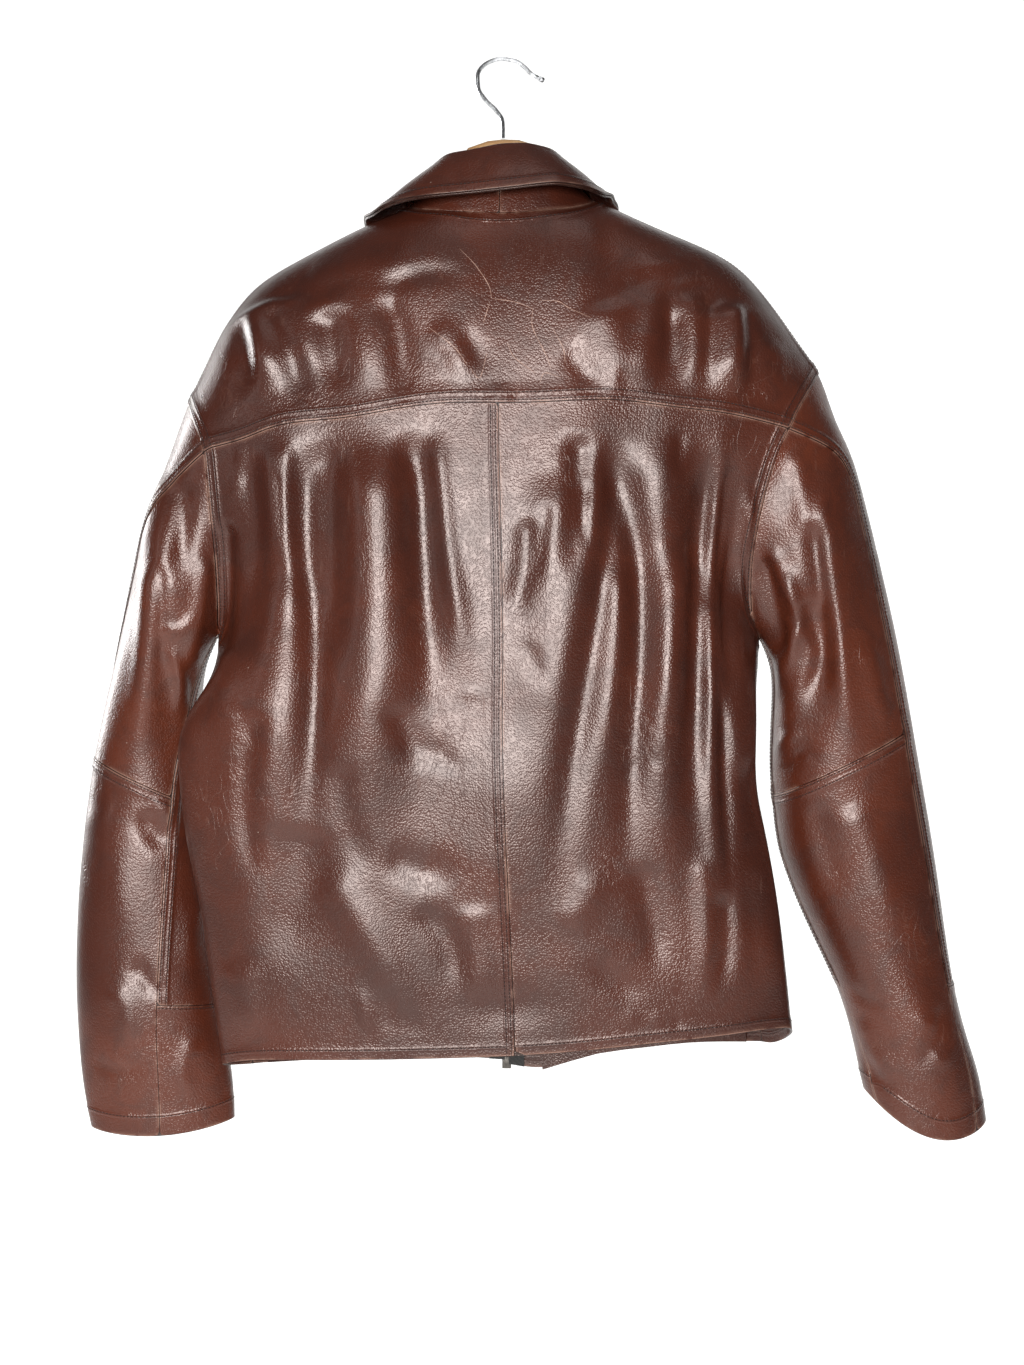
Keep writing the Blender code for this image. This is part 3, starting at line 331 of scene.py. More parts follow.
SHOULDER_SLEEVES = ON_SLEEVES.lay(
    Crease(((150, 560), (148, 640), (140, 720), (133, 765)), 9, 3),
    Crease(((166, 560), (164, 640), (160, 705)), 6, -3),
    Crease(((186, 480), (188, 540), (179, 592)), 9, -4),
    Crease(((160, 470), (150, 520), (140, 580)), 9, 2),
    Crease(((163, 642), (170, 632), (186, 628), (198, 611)), 4, 3),
    Crease(((172, 642), (180, 680), (176, 722)), 4.5, 3),
    Crease(((186, 655), (193, 690), (190, 725)), 5, -2.5),
    Crease(((139, 808), (152, 833), (174, 850)), 8, -3.2),
    Crease(((148, 798), (165, 813), (182, 818)), 6, 2.6),
    Crease(((96, 800), (112, 880), (118, 960)), 14, 1.8),
    Crease(((128, 958), (149, 988), (160, 1004)), 7, -2.4),
    Crease(((104, 985), (124, 1010), (130, 1052)), 8, 2.2),
    Crease(((86, 1060), (110, 1074), (150, 1070)), 5, -1.4),
    Crease(((192, 1035), (180, 1078), (196, 1100)), 6, 2),
    Crease(((196, 895), (186, 940), (192, 985)), 7, 2),
    Crease(((812, 480), (822, 560), (832, 640), (842, 700), (850, 762)), 7, 3.4),
    Crease(((790, 450), (799, 510), (803, 562)), 8, 2.6),
    Crease(((800, 598), (812, 655), (815, 722)), 10, -5),
    Crease(((862, 640), (878, 700), (890, 742)), 8, 2.2),
    Crease(((772, 760), (790, 737), (806, 742)), 5, 2.2),
    Crease(((782, 778), (802, 752), (822, 760)), 4, -2),
    Crease(((766, 545), (777, 578), (790, 606), (797, 624)), 5, 4),
    Crease(((797, 622), (781, 660), (769, 700), (764, 750)), 6, 4),
    Crease(((845, 800), (868, 850), (884, 905), (894, 960)), 14, 2.2),
    Crease(((812, 800), (826, 850), (842, 905)), 10, -1.8),
    Crease(((862, 1018), (880, 1058), (906, 1076)), 6, 2.2),
    Crease(((941, 1000), (935, 1040), (906, 1070)), 6, -2.2),
    Crease(((925, 1040), (940, 1060), (956, 1050)), 4, 1.6),
    Crease(((868, 1055), (880, 1080), (898, 1092)), 4, -1.8),
    Crease(((905, 1012), (925, 1022), (944, 1018)), 4, 1.2),
    Crease(((850, 985), (868, 1000), (890, 1004)), 5, -1.4),
)
COLLAR = ON_COLLAR.lay(
    Crease(((473, 197), (486, 203), (487, 209), (483, 213)), 2.4, 1.6),
    Crease(((415, 203), (440, 208), (470, 212)), 3, 1.4),
    Crease(((430, 196), (455, 200), (470, 197)), 3, -1.2),
    Crease(((520, 205), (545, 205), (575, 199)), 3, 1.2),
    Crease(((545, 150), (553, 165), (570, 178)), 7, 1.2),
    Crease(((440, 165), (470, 160), (500, 165)), 9, -0.9),
)
ARMHOLES = (
    Crease(((206, -370), (208, -405), (202, -505), (213, -588)), 5, 4.5),
    Crease(((192, -335), (194, -430), (188, -560), (190, -700), (196, -790)), 9, -7.0),
    Crease(((222, -430), (232, -480), (246, -545)), 7, -7.0),
    Crease(((240, -440), (254, -490), (262, -520), (248, -560)), 5, 4.0),
    Crease(((262, -400), (272, -470), (276, -560)), 9, -5.0),
    Crease(((-236, -400), (-238, -470), (-250, -530)), 7, -6.0),
    Crease(((-252, -430), (-262, -490), (-272, -540)), 5, 3.5),
    Crease(((-205, -560), (-214, -640), (-208, -720)), 9, -4.0),
)
BROAD_BACK = (
    Crease(((-188, -440), (-192, -560), (-200, -700)), 26, 5.0, tail=0.5),
    Crease(((-146, -330), (-142, -440), (-146, -560)), 13, -5.0),
    Crease(((-100, -340), (-96, -470), (-104, -600), (-112, -700)), 22, 4.0),
    Crease(((6, -560), (0, -660), (-8, -760)), 34, 4.0, start=0.4),
    Crease(((64, -330), (62, -400), (52, -470)), 10, -4.0),
    Crease(((150, -420), (142, -520), (140, -640), (134, -740)), 20, 5.0),
    Crease(((214, -600), (216, -700), (222, -800)), 14, -4.0),
    Crease(((-60, -800), (0, -812), (60, -806)), 14, -2.0, start=0.4),
)
YOKE_FOLDS = (
    Crease(((-206, -214), (-196, -250), (-180, -300)), 24, 6.0),
    Crease(((-222, -230), (-214, -262), (-206, -300)), 8, -4.0),
    Crease(((-146, -225), (-140, -262), (-136, -305)), 13, -6.0),
    Crease(((84, -220), (96, -262), (100, -305)), 18, 5.0),
    Crease(((186, -220), (190, -262), (184, -305)), 18, 5.0),
    Crease(((140, -225), (146, -262), (142, -300)), 9, -3.0),
)
FRONT = (
    Crease(((-190, -350), (-180, -450), (-184, -600), (-176, -780)), 12, -4.0, Facing.FRONT),
    Crease(((-165, -340), (-150, -480), (-152, -640), (-140, -820)), 18, 4.0, Facing.FRONT),
    Crease(((-110, -380), (-104, -520), (-98, -700), (-104, -830)), 11, -4.0, Facing.FRONT),
    Crease(((-70, -330), (-62, -460), (-66, -620)), 12, 3.0, Facing.FRONT),
    Crease(((-210, -480), (-190, -510), (-160, -520)), 7, -2.6, Facing.FRONT),
    Crease(((-214, -500), (-180, -545), (-150, -570)), 7, 2.4, Facing.FRONT),
    Crease(((60, -340), (70, -480), (64, -640), (72, -800)), 13, 3.4, Facing.FRONT),
    Crease(((100, -350), (106, -480), (98, -640), (104, -820)), 11, -4.4, Facing.FRONT),
    Crease(((140, -340), (150, -470), (142, -640), (150, -800)), 16, 4.0, Facing.FRONT),
    Crease(((180, -360), (176, -520), (180, -700)), 9, -3.6, Facing.FRONT),
    Crease(((205, -490), (180, -520), (150, -530)), 7, -2.4, Facing.FRONT),
    Crease(((-240, -300), (-200, -290), (-150, -300)), 10, 2.0, Facing.FRONT),
    Crease(((230, -290), (190, -280), (140, -290)), 10, 2.0, Facing.FRONT),
    Crease(((-150, -860), (-140, -800), (-150, -740)), 10, 2.0, Facing.FRONT),
    Crease(((40, -866), (46, -800), (36, -740)), 9, -2.0, Facing.FRONT),
    Crease(((-300, -600), (-320, -625), (-345, -630)), 6, -3.0, Facing.FRONT),
    Crease(((-290, -625), (-315, -650), (-350, -655)), 6, 2.6, Facing.FRONT),
    Crease(((-285, -655), (-310, -672), (-345, -676)), 5, -2.4, Facing.FRONT),
    Crease(((-345, -420), (-350, -520), (-352, -600)), 11, 2.4, Facing.FRONT),
    Crease(((-310, -700), (-318, -790), (-306, -880)), 11, -2.4, Facing.FRONT),
    Crease(((-340, -900), (-310, -892), (-270, -900)), 5, 1.4, Facing.FRONT),
    Crease(((262, -560), (290, -590), (330, -600)), 6, -3.0, Facing.FRONT),
    Crease(((258, -590), (290, -620), (335, -628)), 6, 2.8, Facing.FRONT),
    Crease(((268, -625), (300, -648), (345, -655)), 5, -2.4, Facing.FRONT),
    Crease(((320, -400), (330, -500), (340, -580)), 11, 2.4, Facing.FRONT),
    Crease(((330, -700), (345, -780), (362, -860)), 11, -2.2, Facing.FRONT),
    Crease(((350, -880), (380, -872), (405, -880)), 5, 1.6, Facing.FRONT),
)
CREASES = (LEFT_BACK + RIGHT_BACK + BROAD_BACK + YOKE + YOKE_FOLDS + SHOULDER_SLEEVES + ARMHOLES
           + COLLAR + FRONT)


@dataclass(frozen=True)
class Seam:
    """How two sewn panels meet.

    The lapped panel, whose name starts as the first of the pair does, lies raised over the other.
    Rows are the topstitching's distances from the seam, on the lapped panel.
    """

    lapped: str
    other: str
    raise_by: float = 0.0
    width: float = 9.0
    rows: tuple[float, ...] = ()
    crease: float = 0.0

    def fits(self, panel: str, neighbour: str) -> bool:
        """Whether this is the seam from one named panel to another, the lapped one first."""
        return panel.startswith(self.lapped) and neighbour.startswith(self.other)


EDGE = "edge"
SEAMS = (
    Seam("back_yoke", "back_", 0.9, 9.5, (2.4, 8.6)),
    Seam("back_yoke", "front_", 0.6, 8.0, (2.4,)),
    Seam("back_yoke", "sleeve_", 0.8, 9.5, (2.4, 8.6)),
    Seam("back_left", "back_right", 0.8, 8.0, (2.8, 6.8)),
    Seam("back_", "sleeve_", 0.8, 9.5, (2.4, 8.6)),
    Seam("front_", "sleeve_", 0.8, 9.5, (2.4, 8.6)),
    Seam("sleeve_left_top", "sleeve_left_back", 0.8, 8.0, (2.2, 8.0)),
    Seam("sleeve_right_top", "sleeve_right_back", 0.8, 8.0, (2.2, 8.0)),
    Seam("sleeve_left_back_lower", "sleeve_left_back_upper", 0.6, 8.0, (2.0, 8.0)),
    Seam("sleeve_right_back_lower", "sleeve_right_back_upper", 0.6, 8.0, (2.0, 8.0)),
    Seam("sleeve_left_front_lower", "sleeve_left_top", 0.5, 6.0, (2.5,)),
    Seam("sleeve_right_front_lower", "sleeve_right_top", 0.5, 6.0, (2.5,)),
    Seam("collar_stand_left", "collar_stand_right", 0.3, 6.0),
    Seam("collar_stand", "back_yoke", 0.0, 4.0, (), 0.7),
    Seam("collar_stand", "front_", 0.0, 4.0, (), 0.7),
    Seam("back_", EDGE, 0.5, 8.0, (8.0,)),
    Seam("front_", EDGE, 0.5, 8.0, (8.0,)),
    Seam("sleeve_", EDGE, 0.4, 17.0, (17.0,)),
    Seam("collar_fall", EDGE, 0.4, 8.0, (8.5,)),
)


@dataclass
class Leaf:
    """One panel's sheet: points in millimetres, quads, normals, and where its edge meets what."""

    name: str
    points: np.ndarray
    quads: np.ndarray
    normals: np.ndarray
    rim: list[tuple[int, int]]
    meets: dict[str, list[list[int]]] = field(default_factory=dict)


class SheetReader:
    """Reads the outer grid of quads back from a leather solid."""

    WALLS = (2.0, 1.6, 1.1, 1.0)
    SAME = 0.02

    def __init__(self, node: bpy.types.Object) -> None:
        """Merge a copy of the node's mesh and keep the larger of its two faces.

        Args:
            node: The CAD node.
        """
        self.mesh = bmesh.new()
        self.mesh.from_mesh(node.data)
        bmesh.ops.remove_doubles(self.mesh, verts=self.mesh.verts, dist=MERGE_METRES)
        rim = [f for f in self.mesh.faces if self.is_rim(f)]
        bmesh.ops.delete(self.mesh, geom=rim, context="FACES_ONLY")
        self.keep_largest()
        self.points = np.array([v.co for v in self.mesh.verts]) / MM
        self.triangles = [[v.index for v in f.verts] for f in self.mesh.faces]

    def is_rim(self, face: bmesh.types.BMFace) -> bool:
        """Whether a face spans the wall's thickness."""
        lengths = [e.calc_length() / MM for e in face.edges]
        return any(abs(length - wall) < self.SAME for length in lengths for wall in self.WALLS)

    def keep_largest(self) -> None:
        """Drop all but the largest connected sheet."""
        left = set(self.mesh.faces)
        sheets = []
        while left:
            queue = [left.pop()]
            sheet = []
            while queue:
                face = queue.pop()
                sheet.append(face)
                near = {g for e in face.edges for g in e.link_faces} & left
                left -= near
                queue.extend(near)
            sheets.append(sheet)
        sheets.sort(key=lambda sheet: -sum(f.calc_area() for f in sheet))
        spare = [f for sheet in sheets[1:] for f in sheet]
        bmesh.ops.delete(self.mesh, geom=spare, context="FACES")
        loose = [v for v in self.mesh.verts if not v.link_faces]
        bmesh.ops.delete(self.mesh, geom=loose, context="VERTS")
        self.mesh.verts.index_update()

    def outline(self) -> list[int]:
        """The sheet's edge as a closed run of points."""
        ways = {}
        for edge in self.mesh.edges:
            if edge.is_boundary:
                a, b = (v.index for v in edge.verts)
                ways.setdefault(a, []).append(b)
                ways.setdefault(b, []).append(a)
        start = min(ways)
        run = [start, ways[start][0]]
        while run[-1] != start:
            a, b = ways[run[-1]]
            run.append(b if a == run[-2] else a)
        return run[:-1]

    def quads(self) -> list[tuple[int, ...]]:
        """Pair the triangles into the grid's quads.

        Returns:
            The quads, wound as the triangles are.

        Raises:
            ValueError: The sheet isn't a grid.
        """
        edge = self.outline()
        total, product = len(edge) // 2, len(self.triangles) // 2
        root = math.isqrt(max(total * total - 4 * product, 0))
        sides = {((total + root) // 2, (total - root) // 2), ((total - root) // 2, (total + root) // 2)}
        before = self.points[np.roll(edge, 1)]
        here, after = self.points[edge], self.points[np.roll(edge, -1)]
        into = (here - before) / np.linalg.norm(here - before, axis=1)[:, None]
        out = (after - here) / np.linalg.norm(after - here, axis=1)[:, None]
        turn = 1 - np.sum(into * out, axis=1)
        tries = []
        for wide, tall in sorted(sides):
            for k in range(total):
                spots = np.array([k, k + wide, k + wide + tall, k + 2 * wide + tall]) % len(edge)
                tries.append((-turn[spots].sum(), k, wide, tall))
        for _, k, wide, tall in sorted(tries):
            found = self.march(edge[k:] + edge[:k], wide, tall)
            if found:
                return found
        raise ValueError("a leather solid's sheet isn't a grid")

    def march(self, edge: list[int], wide: int, tall: int) -> list[tuple[int, ...]]:
        """Walk the rows of a grid from one corner.

        Args:
            edge: The outline from that corner on.
            wide: Quads in a row.
            tall: Rows.

        Returns:
            The quads, or an empty list where the corner was not one.
        """
        by_edge = {}
        for t, corners in enumerate(self.triangles):
            for a, b in zip(corners, corners[1:] + corners[:1]):
                by_edge.setdefault(frozenset((a, b)), []).append(t)
        used = set()

        def third(a: int, b: int) -> int:
            """The far corner of the unused triangle on an edge, or -1."""
            for t in by_edge.get(frozenset((a, b)), ()):
                if t not in used:
                    used.add(t)
                    return next(c for c in self.triangles[t] if c not in (a, b))
            return -1

        row = edge[:wide + 1]
        left = [edge[-i] for i in range(1, tall + 1)]
        found = []
        for start in left:
            below = [start]
            for a, b in zip(row, row[1:]):
                far = third(a, b)
                if far == below[-1]:
                    far = third(b, far)
                elif third(a, below[-1]) != far:
                    return []
                if far < 0:
                    return []
                found.append((a, below[-1], far, b))
                below.append(far)
            row = below
        if len(used) != len(self.triangles):
            return []
        a, b = found[0][:2]
        first = next(t for t in self.triangles if a in t and b in t)
        turns = first[(first.index(a) + 1) % 3] == b
        return found if turns else [q[::-1] for q in found]


class LeatherSurface:
    """Several sheets welded into one, smoothed by subdivision, and cut apart again."""

    WELD = 1.35

    def __init__(self, nodes: dict, names: Sequence[str], levels: int) -> None:
        """Weld and smooth the sheets of the named CAD nodes.

        Args:
            nodes: The frame's nodes by name.
            names: The nodes to weld, each one panel.
            levels: Subdivision steps.
        """
        self.names = list(names)
        whole = bmesh.new()
        for index, name in enumerate(names):
            reader = SheetReader(nodes[name])
            verts = [whole.verts.new(p * MM) for p in reader.points]
            for quad in reader.quads():
                whole.faces.new([verts[i] for i in quad]).material_index = index
        bmesh.ops.remove_doubles(whole, verts=whole.verts, dist=self.WELD * MM)
        self.mark_seams(whole)
        mesh = bpy.data.meshes.new("surface")
        whole.to_mesh(mesh)
        item = bpy.data.objects.new("surface", mesh)
        bpy.context.scene.collection.objects.link(item)
        smooth = item.modifiers.new("smooth", "SUBSURF")
        smooth.levels = smooth.render_levels = levels
        smooth.boundary_smooth = "PRESERVE_CORNERS"
        graph = bpy.context.evaluated_depsgraph_get()
        self.read(bpy.data.meshes.new_from_object(item.evaluated_get(graph)))
        bpy.data.objects.remove(item)

    def mark_seams(self, whole: bmesh.types.BMesh) -> None:
        """Keep the fold of the seams that have one.

        Args:
            whole: The welded sheets.
        """
        crease = whole.edges.layers.float.new("crease_edge")
        for edge in whole.edges:
            ids = [self.names[f.material_index] for f in edge.link_faces]
            if len(set(ids)) == 2:
                for seam in SEAMS:
                    if seam.fits(*ids) or seam.fits(*ids[::-1]):
                        edge[crease] = seam.crease
                        break

    def read(self, mesh: bpy.types.Mesh) -> None:
        """Take the smoothed mesh's points, quads and panels.

        Args:
            mesh: The smoothed mesh.
        """
        count = len(mesh.polygons)
        flat = np.zeros(len(mesh.vertices) * 3, np.float32)
        mesh.vertices.foreach_get("co", flat)
        self.points = flat.reshape(-1, 3).astype(float) / MM
        loops = np.zeros(len(mesh.loops), np.int32)
        mesh.loops.foreach_get("vertex_index", loops)
        self.quads = loops.reshape(count, 4)
        self.panel = np.zeros(count, np.int32)
        mesh.polygons.foreach_get("material_index", self.panel)
        self.normals = quad_normals(self.points, self.quads)

    def crease(self, creases: Iterable[Crease]) -> None:
        """Lay creases into the surface.

        Args:
            creases: The creases.
        """
        spots = self.points[:, [0, 2]]
        total = np.zeros(len(spots))
        for item in creases:
            total += item.lift(spots, self.normals[:, 1])
        self.rest = self.points.copy()
        self.points += self.normals * total[:, None]
        self.normals = quad_normals(self.points, self.quads)

    def follow(self, spots: np.ndarray) -> np.ndarray:
        """Move spots under the surface as the creases moved it.

        Args:
            spots: Places close to the uncreased surface.

        Returns:
            The moved places.
        """
        tree = KDTree(len(self.rest))
        for index, place in enumerate(self.rest.tolist()):
            tree.insert(place, index)
        tree.balance()
        near = [tree.find(spot)[1] for spot in spots.tolist()]
        return spots + self.points[near] - self.rest[near]

    def leaves(self) -> list[Leaf]:
        """Cut the surface into its panels.

        Returns:
            One leaf for each panel, with the runs along which it meets the others.
        """
        pairs = np.sort(np.stack([self.quads, np.roll(self.quads, -1, axis=1)], axis=2), axis=2)
        keys = pairs[..., 0].astype(np.int64) * len(self.points) + pairs[..., 1]
        owners = {}
        for key, panel in zip(keys.ravel(), np.repeat(self.panel, 4)):
            owners.setdefault(int(key), set()).add(int(panel))
        made = []
        for index, name in enumerate(self.names):
            mine = self.quads[self.panel == index]
            used, local = np.unique(mine, return_inverse=True)
            local = local.reshape(mine.shape)
            leaf = Leaf(name, self.points[used].copy(), local, self.normals[used].copy(), [])
            runs = {}
            starts, ends = local.ravel(), np.roll(local, -1, axis=1).ravel()
            tally = {}
            for a, b in zip(starts.tolist(), ends.tolist()):
                tally[(min(a, b), max(a, b))] = tally.get((min(a, b), max(a, b)), 0) + 1
            for a, b in zip(starts.tolist(), ends.tolist()):
                if tally[(min(a, b), max(a, b))] == 1:
                    leaf.rim.append((a, b))
                    low, high = sorted((int(used[a]), int(used[b])))
                    others = owners[low * len(self.points) + high] - {index}
                    word = self.names[others.pop()] if others else EDGE
                    runs.setdefault(word, []).append((a, b))
            leaf.meets = {word: chains(edges, leaf.points) for word, edges in runs.items()}
            made.append(leaf)
        return made


def quad_normals(points: np.ndarray, quads: np.ndarray) -> np.ndarray:
    """Unit normals at the points of a mesh of quads."""
    a, b, c, d = (points[quads[:, i]] for i in range(4))
    face = np.cross(c - a, d - b)
    total = np.zeros_like(points)
    for i in range(4):
        np.add.at(total, quads[:, i], face)
    return total / np.maximum(np.linalg.norm(total, axis=1), 1e-12)[:, None]


def chains(edges: list[tuple[int, int]], points: np.ndarray) -> list[list[int]]:
    """Order loose edges into runs, parted at sharp corners.

    Args:
        edges: Directed edges.
        points: The points that they name.

    Returns:
        Runs of points.
    """
    after = dict(edges)
    heads = set(after) - set(after.values())
    runs = []
    while after:
        start = heads.pop() if heads else next(iter(after))
        run = [start]
        while run[-1] in after:
            run.append(after.pop(run[-1]))
        runs.append(run)
    parted = []
    for run in runs:
        p = points[run]
        way = np.diff(p, axis=0)
        way /= np.maximum(np.linalg.norm(way, axis=1), 1e-9)[:, None]
        cuts = [i + 1 for i in range(len(way) - 1) if way[i] @ way[i + 1] < CORNER_COSINE]
        for a, b in zip([0] + cuts, cuts + [len(run) - 1]):
            if b - a > 1:
                parted.append(run[a:b + 1])
    return parted


class Panel:
    """A sewn leather panel made from its leaf: relief at the seams, a wall, rows of stitches."""

    SEAM_DRAW = 0.02
    LIFT = 0.12
    END_GAP = 1.2
    REACH = 30.0
    RUN_OUT = 3.5
    ROW_SLACK = (0.5, 2.0)
    CLEAR = 0.75

    def __init__(self, leaf: Leaf, thickness: float) -> None:
        """Work out the panel's distances from its seams and raise its laps.

        Args:
            leaf: The panel's sheet.
            thickness: The leather's.
        """
        self.leaf = leaf
        self.thickness = thickness
        count = len(leaf.points)
        self.seam = np.full(count, FAR)
        self.rows = [np.full(count, FAR), np.full(count, FAR)]
        self.paths: list[np.ndarray] = []
        base = leaf.points.copy()
        nearest = np.full(count, FAR)
        for word, runs in leaf.meets.items():
            seam = next((s for s in SEAMS if s.fits(leaf.name, word)), None)
            for run in runs:
                close = self.close_to(base, base[run], self.REACH)
                far = np.full(count, FAR)
                far[close] = to_line(base[close], base[run])[0]
                self.seam = np.minimum(self.seam, far)
                if seam is None:
                    continue
                lap = seam.raise_by * (1 - step(far, seam.width, seam.width + self.RUN_OUT))
                leaf.points += leaf.normals * lap[:, None]
                if seam.rows:
                    better = far < nearest
                    nearest[better] = far[better]
                    for i in range(2):
                        if i < len(seam.rows):
                            self.rows[i][better] = far[better] - seam.rows[i]
                        else:
                            self.rows[i][better] = FAR
        self.draw_back()
        leaf.normals = quad_normals(leaf.points, leaf.quads)

    @staticmethod
    def close_to(points: np.ndarray, line: np.ndarray, reach: float) -> np.ndarray:
        """Points within the box round a line."""
        low, high = line.min(axis=0) - reach, line.max(axis=0) + reach
        return np.flatnonzero(((points > low) & (points < high)).all(axis=1))

    def draw_back(self) -> None:
        """Part the panel from its neighbours by a hair at its rim."""
        total = np.zeros_like(self.leaf.points)
        tally = np.zeros(len(self.leaf.points))
        rim = np.zeros(len(self.leaf.points), bool)
        rim[[a for a, _ in self.leaf.rim]] = True
        for i in range(4):
            for j in (1, 3):
                here, there = self.leaf.quads[:, i], self.leaf.quads[:, (i + j) % 4]
                inner = rim[here] & ~rim[there]
                np.add.at(total, here[inner], (self.leaf.points[there] - self.leaf.points[here])[inner])
                np.add.at(tally, here[inner], 1)
        has = tally > 0
        way = total[has] / np.maximum(np.linalg.norm(total[has], axis=1), 1e-9)[:, None]
        self.leaf.points[has] += way * self.SEAM_DRAW

    def stitch_paths(self) -> list[np.ndarray]:
        """Lay the rows of topstitching on the panel.

        Returns:
            One line of points for each row.
        """
        leaf = self.leaf
        tree = BVHTree.FromPolygons(leaf.points.tolist(), leaf.quads.tolist())
        lines = []
        for word, runs in leaf.meets.items():
            seam = next((s for s in SEAMS if s.fits(leaf.name, word)), None)
            if seam is None:
                continue
            for run in runs:
                p, n = leaf.points[run], leaf.normals[run]
                way = np.gradient(p, axis=0)
                into = np.cross(n, way)
                into /= np.maximum(np.linalg.norm(into, axis=1), 1e-9)[:, None]
                for offset in seam.rows:
                    spots = []
                    for spot in p + into * offset:
                        near, normal, _, far = tree.find_nearest(spot.tolist())
                        if far < self.ROW_SLACK[0] * offset + self.ROW_SLACK[1]:
                            spots.append(np.array(near + normal * self.LIFT))
                    line = self.clear_of_seams(np.array(spots), offset)
                    if len(line) > 3:
                        lines.append(line)
        return lines

    def clear_of_seams(self, line: np.ndarray, offset: float) -> np.ndarray:
        """Drop a row's ends where they come nearer to the rim than the row should."""
        if len(line) < 4:
            return line
        rim = self.leaf.points[[a for a, _ in self.leaf.rim]]
        far = np.array([np.linalg.norm(rim - p, axis=1).min() for p in line])
        good = np.flatnonzero(far > min(offset, self.END_GAP + 1) * self.CLEAR)
        return line[good[0]:good[-1] + 1] if len(good) else line[:0]

    def build(self, material: bpy.types.Material) -> bpy.types.Object:
        """Make the panel's closed wall.

        Args:
            material: Its finish.

        Returns:
            The new object.
        """
        leaf = self.leaf
        count = len(leaf.points)
        inner = leaf.points - leaf.normals * self.thickness
        points = np.vstack([leaf.points, inner])
        rim = [(b, a, a + count, b + count) for a, b in leaf.rim]
        faces = leaf.quads.tolist() + (leaf.quads[:, ::-1] + count).tolist() + rim
        item = mesh_object(leaf.name + "_leather", points, faces, material)
        note_seams(item.data, *(np.tile(v, 2) for v in (self.seam, *self.rows)))
        return item


def note_seams(mesh: bpy.types.Mesh, *values: np.ndarray) -> None:
    """Store each point's distances from the seam and the two rows, for the leather's finish.

    Args:
        mesh: The mesh to note them on.
        values: The three distances; none where the piece has no seam.
    """
    given = values or [np.full(len(mesh.vertices), FAR)] * 3
    for name, value in zip(("seam_mm", "row_one", "row_two"), given):
        layer = mesh.attributes.new(name, "FLOAT", "POINT")
        layer.data.foreach_set("value", value.astype(np.float32))


def mesh_object(name: str, points: np.ndarray, faces: list, material: bpy.types.Material,
                sharp: float = 50.0) -> bpy.types.Object:
    """Make a smooth-shaded object at the origin.

    Args:
        name: The object's name.
        points: Its points in millimetres.
        faces: Its faces.
        material: Its finish.
        sharp: Angle past which an edge is sharp, in degrees.

    Returns:
        The object.
    """
    mesh = bpy.data.meshes.new(name)
    mesh.from_pydata((np.asarray(points) * MM).tolist(), [], faces)
    mesh.materials.append(material)
    mesh.shade_smooth()
    mesh.set_sharp_from_angle(angle=math.radians(sharp))
    item = bpy.data.objects.new(name, mesh)
    bpy.context.scene.collection.objects.link(item)
    return item


